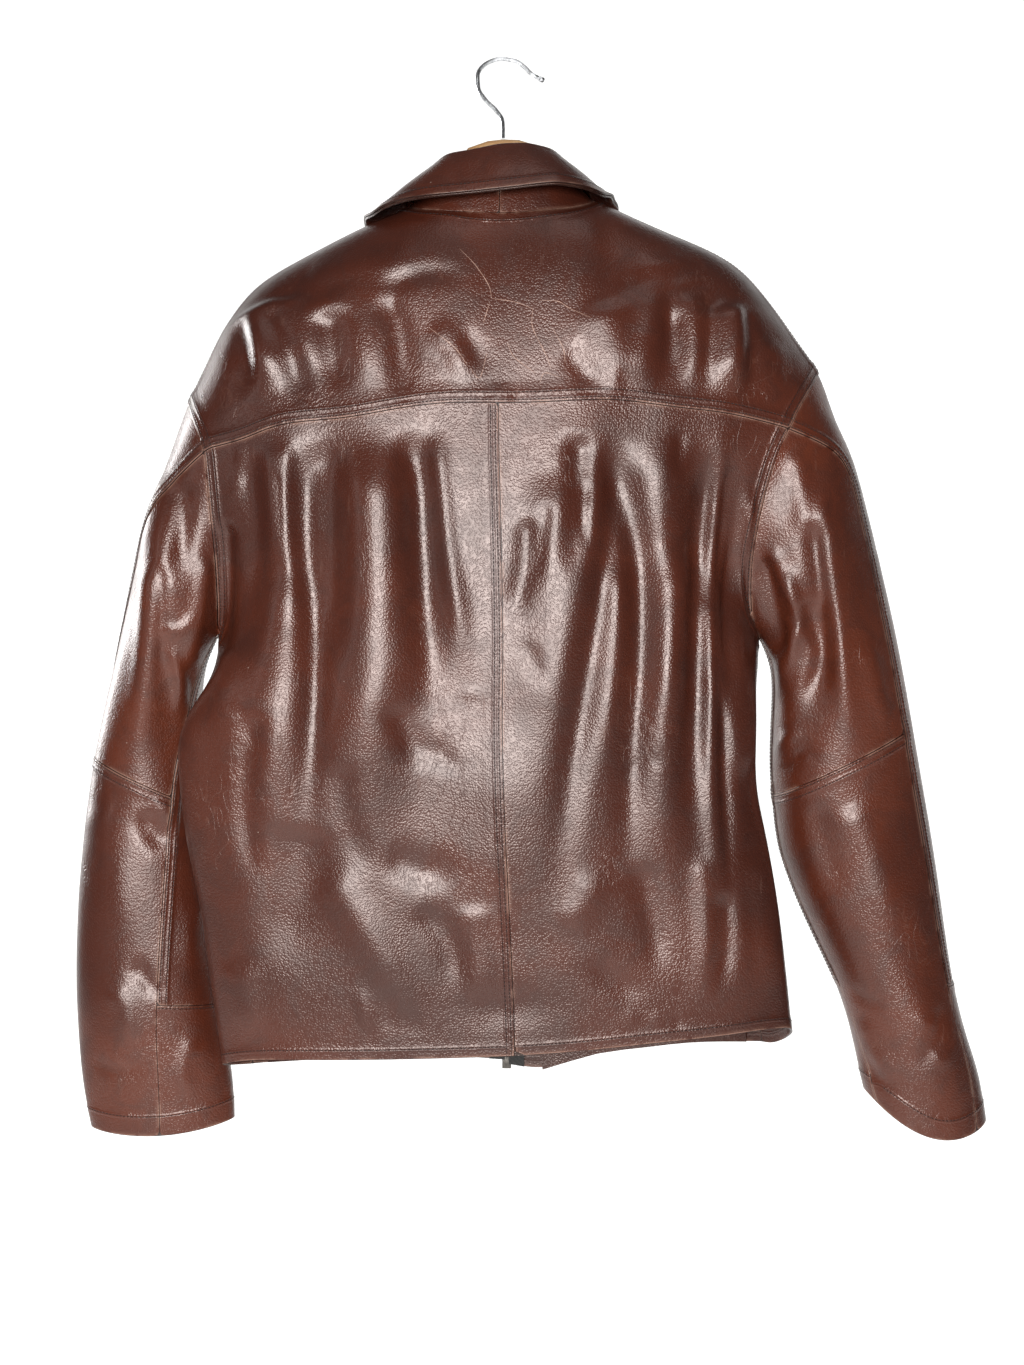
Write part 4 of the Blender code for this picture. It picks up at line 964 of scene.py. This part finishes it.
class NodeTree:
    """Adds nodes to a tree and links them by their sockets' names."""

    def __init__(self, tree: bpy.types.NodeTree) -> None:
        """Start on an emptied tree."""
        self.tree = tree
        tree.nodes.clear()

    def node(self, kind: str, inputs: dict | None = None, **settings) -> bpy.types.Node:
        """Add a node.

        Args:
            kind: Blender's name of its type.
            inputs: Values or sockets for its inputs, by name or number.
            settings: Its other properties.

        Returns:
            The node.
        """
        made = self.tree.nodes.new(kind)
        for name, value in settings.items():
            setattr(made, name, value)
        for name, value in (inputs or {}).items():
            self.plug(made.inputs[name], value)
        return made

    def plug(self, socket: bpy.types.NodeSocket, value: object) -> None:
        """Set or link one input."""
        if isinstance(value, bpy.types.NodeSocket):
            self.tree.links.new(value, socket)
        else:
            socket.default_value = value

    def math(self, operation: str, *values: object) -> bpy.types.NodeSocket:
        """A Math node's result."""
        return self.node("ShaderNodeMath", dict(enumerate(values)), operation=operation).outputs[0]

    def span(self, value: bpy.types.NodeSocket, low: float, high: float,
             to_low: float = 0.0, to_high: float = 1.0) -> bpy.types.NodeSocket:
        """Ease one range of a value into another."""
        inputs = {"Value": value, "From Min": low, "From Max": high,
                  "To Min": to_low, "To Max": to_high}
        made = self.node("ShaderNodeMapRange", inputs, interpolation_type="SMOOTHSTEP")
        return made.outputs["Result"]

    def blend(self, share: object, first: object, second: object) -> bpy.types.NodeSocket:
        """Mix two colours."""
        made = self.node("ShaderNodeMix", data_type="RGBA")
        for index, value in ((0, share), (6, first), (7, second)):
            if isinstance(value, tuple):
                value = (*value, 1.0)[:4]
            self.plug(made.inputs[index], value)
        return made.outputs[2]

    def noise(self, place: bpy.types.NodeSocket, scale: float, detail: float = 2.0,
              rough: float = 0.5, twist: float = 0.0) -> bpy.types.NodeSocket:
        """Noise at a scale in features a metre."""
        inputs = {"Vector": place, "Scale": scale, "Detail": detail, "Roughness": rough,
                  "Distortion": twist}
        return self.node("ShaderNodeTexNoise", inputs).outputs[0]

    def place(self) -> bpy.types.NodeSocket:
        """The object's own coordinates."""
        return self.node("ShaderNodeTexCoord").outputs["Object"]

    def stretch(self, place: bpy.types.NodeSocket, scale: tuple[float, float, float],
                turn: tuple[float, float, float] = (0.0, 0.0, 0.0)) -> bpy.types.NodeSocket:
        """Coordinates scaled and turned."""
        inputs = {"Vector": place, "Scale": scale, "Rotation": turn}
        return self.node("ShaderNodeMapping", inputs).outputs[0]

    def value_of(self, name: str) -> bpy.types.NodeSocket:
        """A point attribute's number."""
        return self.node("ShaderNodeAttribute", attribute_name=name).outputs["Fac"]

    def finish(self, shader: bpy.types.Node) -> None:
        """Send a shader to the output."""
        output = self.node("ShaderNodeOutputMaterial")
        self.tree.links.new(shader.outputs[0], output.inputs["Surface"])


@dataclass(frozen=True)
class LeatherFinish:
    """Polished cowhide, worn: mottled brown, pebbled, scuffed along seams and edges, with painted shade
    darkening the seam lines.
    """

    name: str = "worn_brown_leather"
    deep: Colour = (0.014, 0.0032, 0.0020)
    body: Colour = (0.036, 0.0080, 0.0042)
    warm: Colour = (0.058, 0.0130, 0.0064)
    worn: Colour = (0.150, 0.072, 0.050)
    lip: Colour = (0.330, 0.190, 0.140)
    gloss: float = 0.27
    grain: float = 0.5

    def material(self) -> bpy.types.Material:
        """Build the leather's nodes."""
        made = bpy.data.materials.new(self.name)
        made.use_nodes = True
        t = NodeTree(made.node_tree)
        place = t.place()
        broad = t.noise(place, 6, 3, 0.55, 0.4)
        mottle = t.noise(place, 38, 5, 0.62, 0.6)
        seam = t.value_of("seam_mm")
        rows = [t.math("ABSOLUTE", t.value_of(name)) for name in ("row_one", "row_two")]
        colour = t.blend(t.span(broad, 0.35, 0.68), self.body, self.warm)
        colour = t.blend(t.math("MULTIPLY", t.span(mottle, 0.42, 0.66), 0.30), colour, self.deep)
        pebble = t.node("ShaderNodeTexVoronoi", {"Vector": place, "Scale": 520.0, "Randomness": 0.9})
        cell = t.span(pebble.outputs["Distance"], 0.15, 0.7)
        fine = t.noise(place, 950, 2)
        waves = t.noise(t.stretch(place, (1.0, 1.0, 0.6)), 44, 3, 0.5, 1.4)
        vein = t.math("ABSOLUTE", t.math("SUBTRACT", waves, 0.5))
        wrinkle = t.math("MULTIPLY", t.span(vein, 0.022, 0.0), t.span(t.noise(place, 12, 2), 0.52, 0.66))
        streaks = t.noise(t.stretch(place, (260, 260, 34), (0.1, 0.5, 0.2)), 1.0, 3)
        scuff = t.math("MULTIPLY", t.span(streaks, 0.60, 0.74), t.span(t.noise(place, 16, 2), 0.50, 0.66))
        specks = t.node("ShaderNodeTexVoronoi", {"Vector": place, "Scale": 68.0}).outputs["Distance"]
        speck = t.math("MULTIPLY", t.span(specks, 0.050, 0.030), t.span(broad, 0.56, 0.60))
        # Seam-line mask: it cuts the groove into the bump and also carries painted shade into the colour.
        groove_and_shade = t.span(seam, 0.5, 0.05)
        lip = t.math("MULTIPLY", t.span(seam, 1.5, 0.7), t.span(seam, 0.35, 0.6))
        needle = t.math("MAXIMUM", t.span(rows[0], 0.75, 0.15), t.span(rows[1], 0.75, 0.15))
        pucker = t.span(t.math("MINIMUM", *rows), 2.6, 1.0)
        pucker = t.math("MULTIPLY", pucker, t.noise(t.stretch(place, (150, 150, 150)), 1.0, 2, 0.6))
        edge = t.math("MULTIPLY", t.span(seam, 4.5, 1.0), t.span(mottle, 0.40, 0.62))
        colour = t.blend(t.math("MULTIPLY", edge, 0.35), colour, self.worn)
        colour = t.blend(t.math("MULTIPLY", scuff, 0.16), colour, self.worn)
        colour = t.blend(t.math("MULTIPLY", wrinkle, 0.12), colour, self.worn)
        colour = t.blend(t.math("MULTIPLY", speck, 0.5), colour, (0.34, 0.26, 0.22))
        pale = t.math("MULTIPLY", lip, t.span(mottle, 0.40, 0.56))
        colour = t.blend(t.math("MULTIPLY", pale, 0.42), colour, self.lip)
        colour = t.blend(t.math("MULTIPLY", needle, 0.28), colour, self.deep)
        # Painted shade: the seam line is darkened nearly to black, as shade falls in the seam's recess.
        colour = t.blend(t.math("MULTIPLY", groove_and_shade, 0.85), colour, (0.010, 0.004, 0.003))
        rough = t.math("ADD", self.gloss, t.math("MULTIPLY", t.span(mottle, 0.3, 0.7), 0.10))
        rough = t.math("ADD", rough, t.math("MULTIPLY", scuff, 0.15))
        height = t.math("MULTIPLY", cell, 0.48)
        height = t.math("ADD", height, t.math("MULTIPLY", fine, 0.30))
        height = t.math("SUBTRACT", height, t.math("MULTIPLY", wrinkle, 0.55))
        height = t.math("SUBTRACT", height, t.math("MULTIPLY", needle, 0.7))
        height = t.math("ADD", height, t.math("MULTIPLY", pucker, 1.9))
        height = t.math("SUBTRACT", height, t.math("MULTIPLY", groove_and_shade, 2.4))
        height = t.math("ADD", height, t.math("MULTIPLY", mottle, 0.8))
        bump = t.node("ShaderNodeBump", {"Height": height, "Strength": self.grain, "Distance": 0.0006})
        shader = t.node("ShaderNodeBsdfPrincipled", {
            "Base Color": colour, "Roughness": rough, "Normal": bump.outputs[0],
            "Specular IOR Level": 0.5, "Specular Tint": (1.0, 0.86, 0.80, 1.0),
            "Coat Weight": 0.12, "Coat Roughness": 0.2})
        t.finish(shader)
        return made


@dataclass(frozen=True)
class MetalFinish:
    """Metal with small wear: a base colour, its roughness and the scratches' scale."""

    name: str
    colour: Colour
    roughness: float

    def material(self) -> bpy.types.Material:
        """Build the metal's nodes."""
        made = bpy.data.materials.new(self.name)
        made.use_nodes = True
        t = NodeTree(made.node_tree)
        place = t.place()
        worn = t.noise(place, 260, 4, 0.6)
        lines = t.noise(t.stretch(place, (2400, 2400, 120)), 1.0, 2)
        dull = tuple(0.55 * c for c in self.colour)
        colour = t.blend(t.span(worn, 0.40, 0.70), self.colour, dull)
        rough = t.math("ADD", self.roughness, t.math("MULTIPLY", t.span(lines, 0.3, 0.7), 0.14))
        bump = t.node("ShaderNodeBump", {"Height": lines, "Strength": 0.12, "Distance": 0.0001})
        t.finish(t.node("ShaderNodeBsdfPrincipled", {
            "Base Color": colour, "Metallic": 1.0, "Roughness": rough, "Normal": bump.outputs[0]}))
        return made


@dataclass(frozen=True)
class WoodFinish:
    """Lacquered pale wood with fine long grain."""

    name: str = "lacquered_beech"
    pale: Colour = (0.40, 0.24, 0.11)
    dark: Colour = (0.28, 0.14, 0.055)

    def material(self) -> bpy.types.Material:
        """Build the wood's nodes."""
        made = bpy.data.materials.new(self.name)
        made.use_nodes = True
        t = NodeTree(made.node_tree)
        place = t.place()
        grain = t.noise(t.stretch(place, (22, 320, 320)), 1.0, 5, 0.62, 0.5)
        pores = t.noise(t.stretch(place, (160, 1900, 1900)), 1.0, 2)
        colour = t.blend(t.span(grain, 0.35, 0.68), self.pale, self.dark)
        colour = t.blend(t.math("MULTIPLY", t.span(pores, 0.56, 0.70), 0.4), colour, self.dark)
        bump = t.node("ShaderNodeBump", {"Height": grain, "Strength": 0.15, "Distance": 0.0003})
        t.finish(t.node("ShaderNodeBsdfPrincipled", {
            "Base Color": colour, "Roughness": t.span(pores, 0.3, 0.7, 0.32, 0.46),
            "Normal": bump.outputs[0], "Coat Weight": 0.3, "Coat Roughness": 0.2}))
        return made


@dataclass(frozen=True)
class ThreadFinish:
    """Twisted thread or woven tape: a matt colour with fine ribs, darkened in their hollows as painted
    shade.
    """

    name: str
    colour: Colour
    ribs: float = 900.0

    def material(self) -> bpy.types.Material:
        """Build the thread's nodes."""
        made = bpy.data.materials.new(self.name)
        made.use_nodes = True
        t = NodeTree(made.node_tree)
        place = t.place()
        wave = t.node("ShaderNodeTexWave", {"Vector": place, "Scale": self.ribs / 6.28,
                                            "Distortion": 1.5}, bands_direction="DIAGONAL")
        # Painted shade: where the ribs' bump is low, the colour falls to half.
        shade = tuple(0.5 * c for c in self.colour)
        colour = t.blend(wave.outputs["Fac"], shade, self.colour)
        bump = t.node("ShaderNodeBump", {"Height": wave.outputs["Fac"], "Strength": 0.4,
                                         "Distance": 0.0002})
        t.finish(t.node("ShaderNodeBsdfPrincipled", {
            "Base Color": colour, "Roughness": 0.7, "Normal": bump.outputs[0]}))
        return made


class Bead(Enum):
    """What is set again and again along a line."""

    STITCH = "stitch"
    TOOTH = "tooth"


class RowTree:
    """Geometry Nodes that set one bead after another along lines of points."""

    SOCKETS = ("Pitch", "Length", "Width", "Depth", "Shift")

    def __init__(self, bead: Bead, material: bpy.types.Material) -> None:
        """Build the tree.

        Args:
            bead: The shape to repeat.
            material: Its finish.
        """
        self.group = bpy.data.node_groups.new(bead.value, "GeometryNodeTree")
        face = self.group.interface
        face.new_socket("Geometry", in_out="INPUT", socket_type="NodeSocketGeometry")
        self.names = {}
        for name in self.SOCKETS:
            socket = face.new_socket(name, in_out="INPUT", socket_type="NodeSocketFloat")
            socket.default_value = MM
            self.names[name] = socket.identifier
        face.new_socket("Geometry", in_out="OUTPUT", socket_type="NodeSocketGeometry")
        t = NodeTree(self.group)
        given = t.node("NodeGroupInput").outputs
        curve = t.node("GeometryNodeMeshToCurve", {"Mesh": given["Geometry"]})
        spread = t.node("GeometryNodeResampleCurve", {"Curve": curve.outputs[0],
                                                      "Length": given["Pitch"]}, mode="LENGTH")
        index = t.node("GeometryNodeInputIndex").outputs[0]
        odd = t.math("SUBTRACT", t.math("MULTIPLY", t.math("MODULO", index, 2.0), 2.0), 1.0)
        aside = t.node("ShaderNodeCombineXYZ", {0: t.math("MULTIPLY", odd, given["Shift"])})
        moved = t.node("GeometryNodeSetPosition", {"Geometry": spread.outputs[0],
                                                   "Offset": aside.outputs[0]})
        tangent = t.node("GeometryNodeInputTangent").outputs[0]
        turn = t.node("FunctionNodeAlignRotationToVector", {"Vector": tangent}, axis="Z")
        if bead is Bead.STITCH:
            shape = t.node("GeometryNodeMeshUVSphere", {"Segments": 6, "Rings": 4, "Radius": 0.5})
        else:
            shape = t.node("GeometryNodeMeshCylinder", {"Vertices": 8, "Radius": 0.5, "Depth": 1.0})
        size = t.node("ShaderNodeCombineXYZ", {0: given["Width"], 1: given["Depth"],
                                               2: given["Length"]})
        placed = t.node("GeometryNodeInstanceOnPoints", {
            "Points": moved.outputs[0], "Instance": shape.outputs[0],
            "Rotation": turn.outputs[0], "Scale": size.outputs[0]})
        real = t.node("GeometryNodeRealizeInstances", {"Geometry": placed.outputs[0]})
        painted = t.node("GeometryNodeSetMaterial", {"Geometry": real.outputs[0],
                                                     "Material": material})
        t.node("NodeGroupOutput", {0: painted.outputs[0]})

    def run(self, name: str, lines: list[np.ndarray], sizes: dict[str, float]) -> bpy.types.Object:
        """Set the beads along lines.

        Args:
            name: The new object's name.
            lines: Lines of points in millimetres.
            sizes: The tree's inputs, in millimetres.

        Returns:
            The row as one plain mesh.
        """
        points, edges = [], []
        for line in lines:
            edges += [(len(points) + i, len(points) + i + 1) for i in range(len(line) - 1)]
            points += (line * MM).tolist()
        path = bpy.data.meshes.new(name + "_path")
        path.from_pydata(points, edges, [])
        item = bpy.data.objects.new(name, path)
        bpy.context.scene.collection.objects.link(item)
        sewn = item.modifiers.new("row", "NODES")
        sewn.node_group = self.group
        for word, value in sizes.items():
            sewn[self.names[word]] = value * MM
        graph = bpy.context.evaluated_depsgraph_get()
        mesh = bpy.data.meshes.new_from_object(item.evaluated_get(graph))
        item.modifiers.clear()
        item.data = mesh
        mesh.shade_smooth()
        mesh.set_sharp_from_angle(angle=math.radians(60.0))
        return item


@dataclass(frozen=True)
class Cut:
    """A panel as it lies flat before sewing: its blank in metres, its area in square metres."""

    width: float
    length: float
    area: float


@dataclass
class Scratches:
    """Pale scuffs across the yoke, as thin ribbons on the leather."""

    width: float = 0.7
    lift: float = 0.07
    lines: tuple[tuple[Point, ...], ...] = (
        ((-36, -178), (-23, -192), (-12, -209), (-9, -221)),
        ((-9, -221), (10, -224), (25, -230)),
        ((-11, -225), (-16, -242)),
        ((25, -230), (25, -246), (35, -267), (40, -280)),
        ((4, -259), (10, -271), (27, -284)),
        ((31, -223), (46, -224), (56, -230), (73, -238)),
        ((41, -246), (50, -263), (52, -276)),
        ((-27, -280), (-19, -288), (-13, -267)),
        ((-61, -246), (-40, -263), (-29, -278)),
        ((31, -292), (35, -284), (48, -288)),
    )

    THIN_END: ClassVar[float] = 0.25
    WAVER: ClassVar[float] = 23.0
    BEHIND: ClassVar[float] = -900.0

    def build(self, leaf: Leaf) -> None:
        """Lay the ribbons on the yoke.

        Args:
            leaf: The yoke's sheet.
        """
        tree = BVHTree.FromPolygons(leaf.points.tolist(), leaf.quads.tolist())
        points, faces = [], []
        for route in self.lines:
            line = curve_through(route, 8)
            way = np.gradient(line, axis=0)
            way /= np.linalg.norm(way, axis=1)[:, None]
            share = np.linspace(0, 1, len(line))
            swell = np.sin(np.pi * share) * (1 + 0.5 * np.sin(self.WAVER * share)) / 1.5
            half = self.width / 2 * (self.THIN_END + (1 - self.THIN_END) * swell)
            start = len(points)
            for (x, z), (u, w), h in zip(line, way, half):
                for side in (-1, 1):
                    eye = (x + side * h * w, self.BEHIND, z - side * h * u)
                    spot, normal, _, _ = tree.ray_cast(eye, (0, 1, 0))
                    points.append(np.array(spot + normal * self.lift))
            faces += [(start + 2 * i, start + 2 * i + 1, start + 2 * i + 3, start + 2 * i + 2)
                      for i in range(len(line) - 1)]
        pale = LeatherFinish(name="scuffed_leather", deep=(0.13, 0.07, 0.05), body=(0.24, 0.14, 0.105),
                             warm=(0.32, 0.20, 0.155), gloss=0.5).material()
        item = mesh_object("yoke_scratches", np.array(points), faces, pale)
        note_seams(item.data)
        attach(item, "coat")
        LOG.info("yoke_scratches: %d faces", len(faces))


@dataclass
class Jacket:
    """The leather pieces, their relief and their sewing."""

    leather: float = 2.0
    collar_leather: float = 1.6
    levels: int = 3
    cuts: dict[str, Cut] = field(default_factory=lambda: {
        "back_left": Cut(0.33, 0.56, 0.165),
        "back_right": Cut(0.29, 0.56, 0.142),
        "back_yoke": Cut(0.60, 0.25, 0.102),
        "front_left": Cut(0.36, 0.78, 0.181),
        "front_right": Cut(0.33, 0.78, 0.166),
        "collar_stand_left": Cut(0.19, 0.06, 0.0072),
        "collar_stand_right": Cut(0.19, 0.06, 0.0077),
        "collar_fall": Cut(0.52, 0.12, 0.037),
        "collar_under": Cut(0.50, 0.08, 0.020),
        "sleeve_left_top": Cut(0.30, 0.56, 0.088),
        "sleeve_left_front_lower": Cut(0.20, 0.15, 0.0229),
        "sleeve_left_back_upper": Cut(0.16, 0.36, 0.029),
        "sleeve_left_back_lower": Cut(0.17, 0.36, 0.038),
        "sleeve_right_top": Cut(0.32, 0.58, 0.106),
        "sleeve_right_front_lower": Cut(0.19, 0.15, 0.0215),
        "sleeve_right_back_upper": Cut(0.18, 0.36, 0.035),
        "sleeve_right_back_lower": Cut(0.17, 0.36, 0.040),
    })

    def build(self, nodes: dict) -> LeatherSurface:
        """Make and dress every leather piece.

        Args:
            nodes: The frame's nodes by name.

        Returns:
            The shell's creased surface.
        """
        body = LeatherFinish().material()
        sleeve = LeatherFinish(name="worn_brown_leather_sleeve", body=(0.047, 0.0100, 0.0048),
                               warm=(0.076, 0.0165, 0.0072)).material()
        thread = ThreadFinish("brown_thread", (0.011, 0.0045, 0.0035)).material()
        names = [n for n in self.cuts if n not in ("collar_fall", "collar_under")]
        lines = []
        surfaces = []
        for group in (names, ["collar_fall"], ["collar_under"]):
            surface = LeatherSurface(nodes, group, self.levels)
            surface.crease(CREASES)
            surfaces.append(surface)
            for leaf in surface.leaves():
                panel = Panel(leaf, self.collar_leather if leaf.name.startswith("collar") else self.leather)
                if leaf.name != "collar_under":
                    lines += panel.stitch_paths()
                self.dress(panel.build(sleeve if leaf.name.startswith("sleeve") else body), leaf.name)
                if leaf.name == "back_yoke":
                    Scratches().build(leaf)
        sewn = RowTree(Bead.STITCH, thread).run("topstitching", lines, {
            "Pitch": 3.3, "Length": 2.5, "Width": 0.62, "Depth": 0.62, "Shift": 0.0})
        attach(sewn, "coat")
        LOG.info("topstitching: %d rows, %d faces", len(lines), len(sewn.data.polygons))
        return surfaces[0]

    def dress(self, item: bpy.types.Object, node: str) -> None:
        """Attach a leather piece to the coat and hide the CAD node that it stands for.

        Args:
            item: The piece.
            node: The CAD node that it stands for.
        """
        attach(item, "coat")
        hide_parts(node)
        LOG.info("%s: %d faces", item.name, len(item.data.polygons))


@dataclass
class Hardware:
    """The zip's metal, its tapes, the hem's facings, and the hanger with its hook."""

    bevels: dict[str, float] = field(default_factory=lambda: {
        "zip_box": 0.5, "zip_slider": 0.45, "zip_pull_tab": 0.35})
    cloth: dict[str, Cut] = field(default_factory=lambda: {
        "zip_tape_left": Cut(0.014, 0.68, 0.0095),
        "zip_tape_right": Cut(0.014, 0.69, 0.0096),
        "hem_facing_left": Cut(0.20, 0.032, 0.0058),
        "hem_facing_right": Cut(0.20, 0.032, 0.0058),
    })

    FLAT_DEGREES: ClassVar[float] = 1.0
    BEVEL_DEGREES: ClassVar[float] = 50.0
    SHARP_DEGREES: ClassVar[float] = 38.0

    def build(self, nodes: dict, shell: LeatherSurface) -> None:
        """Make the hard pieces and the hidden cloth.

        Args:
            nodes: The frame's nodes by name.
            shell: The jacket's creased surface.
        """
        metal = MetalFinish("dark_brass", (0.11, 0.10, 0.09), 0.38).material()
        steel = MetalFinish("polished_steel", (0.70, 0.71, 0.73), 0.16).material()
        tape = ThreadFinish("black_tape", (0.02, 0.018, 0.016)).material()
        leather = LeatherFinish(name="facing_leather").material()
        for name, cut in self.cloth.items():
            item = self.copy(nodes[name], tape if "tape" in name else leather)
            self.follow(item, shell)
            note_seams(item.data)
            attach(item, "coat")
            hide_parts(name)
        for name, size in self.bevels.items():
            item = self.copy(nodes[name], metal, size)
            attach(item, "pull_tab" if name == "zip_pull_tab" else "coat")
            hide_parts(name)
        for name, finish, slot, size in (("hanger_body", WoodFinish().material(), Slot.WOOD, 2.0),
                                         ("hanger_hook", steel, Slot.STEEL, 0.0)):
            item = self.copy(nodes[name], finish, size)
            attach(item, "coat")
            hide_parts(name)
        self.teeth(nodes["zip_chain"], metal)

    def copy(self, node: bpy.types.Object, finish: bpy.types.Material,
             bevel: float = 0.0) -> bpy.types.Object:
        """Merge a copy of a CAD node, round its edges and shade it smooth.

        Args:
            node: The CAD node.
            finish: Its finish.
            bevel: Width of the rounding.

        Returns:
            The new object.
        """
        work = bmesh.new()
        work.from_mesh(node.data)
        work.transform(node.matrix_world)
        bmesh.ops.remove_doubles(work, verts=work.verts, dist=MERGE_METRES)
        bmesh.ops.dissolve_limit(work, angle_limit=math.radians(Hardware.FLAT_DEGREES),
                                 verts=work.verts, edges=work.edges)
        if bevel:
            sharp = [e for e in work.edges if len(e.link_faces) == 2
                     and e.calc_face_angle() > math.radians(Hardware.BEVEL_DEGREES)]
            bmesh.ops.bevel(work, geom=sharp, offset=bevel * MM, segments=2, profile=0.5,
                            affect="EDGES", clamp_overlap=True)
        mesh = bpy.data.meshes.new(node.name + "_shown")
        work.to_mesh(mesh)
        mesh.materials.clear()
        mesh.materials.append(finish)
        mesh.shade_smooth()
        mesh.set_sharp_from_angle(angle=math.radians(Hardware.SHARP_DEGREES))
        item = bpy.data.objects.new(node.name + "_shown", mesh)
        bpy.context.scene.collection.objects.link(item)
        LOG.info("%s: %d faces", item.name, len(mesh.polygons))
        return item

    def follow(self, item: bpy.types.Object, shell: LeatherSurface) -> None:
        """Move a hidden piece as the leather before it was creased."""
        spots = np.array([v.co for v in item.data.vertices]) / MM
        for vert, spot in zip(item.data.vertices, shell.follow(spots)):
            vert.co = spot * MM

    def teeth(self, chain: bpy.types.Object, metal: bpy.types.Material) -> None:
        """Set the zip's teeth along its chain.

        Args:
            chain: The CAD node that stands for them.
            metal: Their finish.
        """
        spots = np.array([chain.matrix_world @ v.co for v in chain.data.vertices]) / MM
        heights = np.unique(spots[:, 2].round(1))[::-1]
        line = np.array([spots[np.abs(spots[:, 2] - z) < 0.1].mean(axis=0) for z in heights])
        line[0, 2] -= 0.8
        line[-1, 2] += 0.8
        item = RowTree(Bead.TOOTH, metal).run("zip_teeth", [line], {
            "Pitch": 1.15, "Length": 1.0, "Width": 3.2, "Depth": 2.0, "Shift": 0.85})
        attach(item, "coat")
        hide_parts("zip_chain")
        LOG.info("zip_teeth: %d faces", len(item.data.polygons))


@dataclass
class Studio:
    """The camera at the photograph's place, soft lights and a pale floor, in metres."""

    eye: tuple[float, float, float] = (0.0078, -1.72, -0.5407)
    lens: float = 52.13
    floor_z: float = -1.95
    paper: Colour = (0.93, 0.93, 0.92)

    def build(self) -> None:
        """Set up camera, lights, world and floor."""
        camera = bpy.data.objects.new("camera", bpy.data.cameras.new("camera"))
        camera.data.lens = self.lens
        camera.data.sensor_width = 36.0
        camera.location = self.eye
        camera.rotation_euler = (math.pi / 2, 0.0, 0.0)
        bpy.context.scene.collection.objects.link(camera)
        bpy.context.scene.camera = camera
        self.light("window", (-0.27, -2.6, -0.28), (1.3, 1.1), 112)
        self.light("side", (-2.3, -1.4, 0.1), (0.5, 1.5), 5)
        self.light("front", (-2.5, 2.0, 0.1), (0.8, 1.4), 45)
        self.light("ceiling", (0.3, -0.9, 1.9), (1.6, 1.0), 6)
        world = bpy.data.worlds.new("room")
        world.use_nodes = True
        world.node_tree.nodes["Background"].inputs["Color"].default_value = (1.0, 1.0, 0.99, 1.0)
        world.node_tree.nodes["Background"].inputs["Strength"].default_value = 0.10
        bpy.context.scene.world = world
        floor = mesh_object("floor", np.array([(-6000, -6000, self.floor_z / MM),
                                               (6000, -6000, self.floor_z / MM),
                                               (6000, 6000, self.floor_z / MM),
                                               (-6000, 6000, self.floor_z / MM)]),
                            [(0, 1, 2, 3)], self.paper_of("floor_paper", 0.40))
        wall = mesh_object("wall", np.array([(-6000, 4000, -3000), (6000, 4000, -3000),
                                             (6000, 4000, 3500), (-6000, 4000, 3500)]),
                           [(0, 1, 2, 3)], self.paper_of("wall_paper", 0.58))
        bpy.context.scene.view_settings.view_transform = "Standard"

    def paper_of(self, name: str, glow: float) -> bpy.types.Material:
        """Pale paper that glows a little, so that it shows white."""
        made = bpy.data.materials.new(name)
        made.use_nodes = True
        t = NodeTree(made.node_tree)
        t.finish(t.node("ShaderNodeBsdfPrincipled", {
            "Base Color": (*self.paper, 1.0), "Roughness": 0.9,
            "Emission Color": (1.0, 1.0, 0.99, 1.0), "Emission Strength": glow}))
        return made

    def light(self, name: str, place: tuple[float, float, float], size: tuple[float, float],
              power: float) -> None:
        """Add a soft light aimed at the jacket.

        Args:
            name: Its name.
            place: Where it stands.
            size: Its width and height.
            power: Its power in watts.
        """
        lamp = bpy.data.lights.new(name, "AREA")
        lamp.shape = "RECTANGLE"
        lamp.size, lamp.size_y = size
        lamp.energy = power
        item = bpy.data.objects.new(name, lamp)
        item.location = place
        aim = Vector((0.0, 0.0, -0.5)) - Vector(place)
        item.rotation_euler = aim.to_track_quat("-Z", "Y").to_euler()
        bpy.context.scene.collection.objects.link(item)


def main() -> None:
    """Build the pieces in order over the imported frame."""
    logging.basicConfig(level=logging.INFO, format="%(name)s: %(message)s")
    for item in list(bpy.data.objects):
        bpy.data.objects.remove(item, do_unlink=True)
    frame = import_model()
    shell = Jacket().build(frame["nodes"])
    Hardware().build(frame["nodes"], shell)
    Studio().build()


if __name__ == "__main__":
    main()
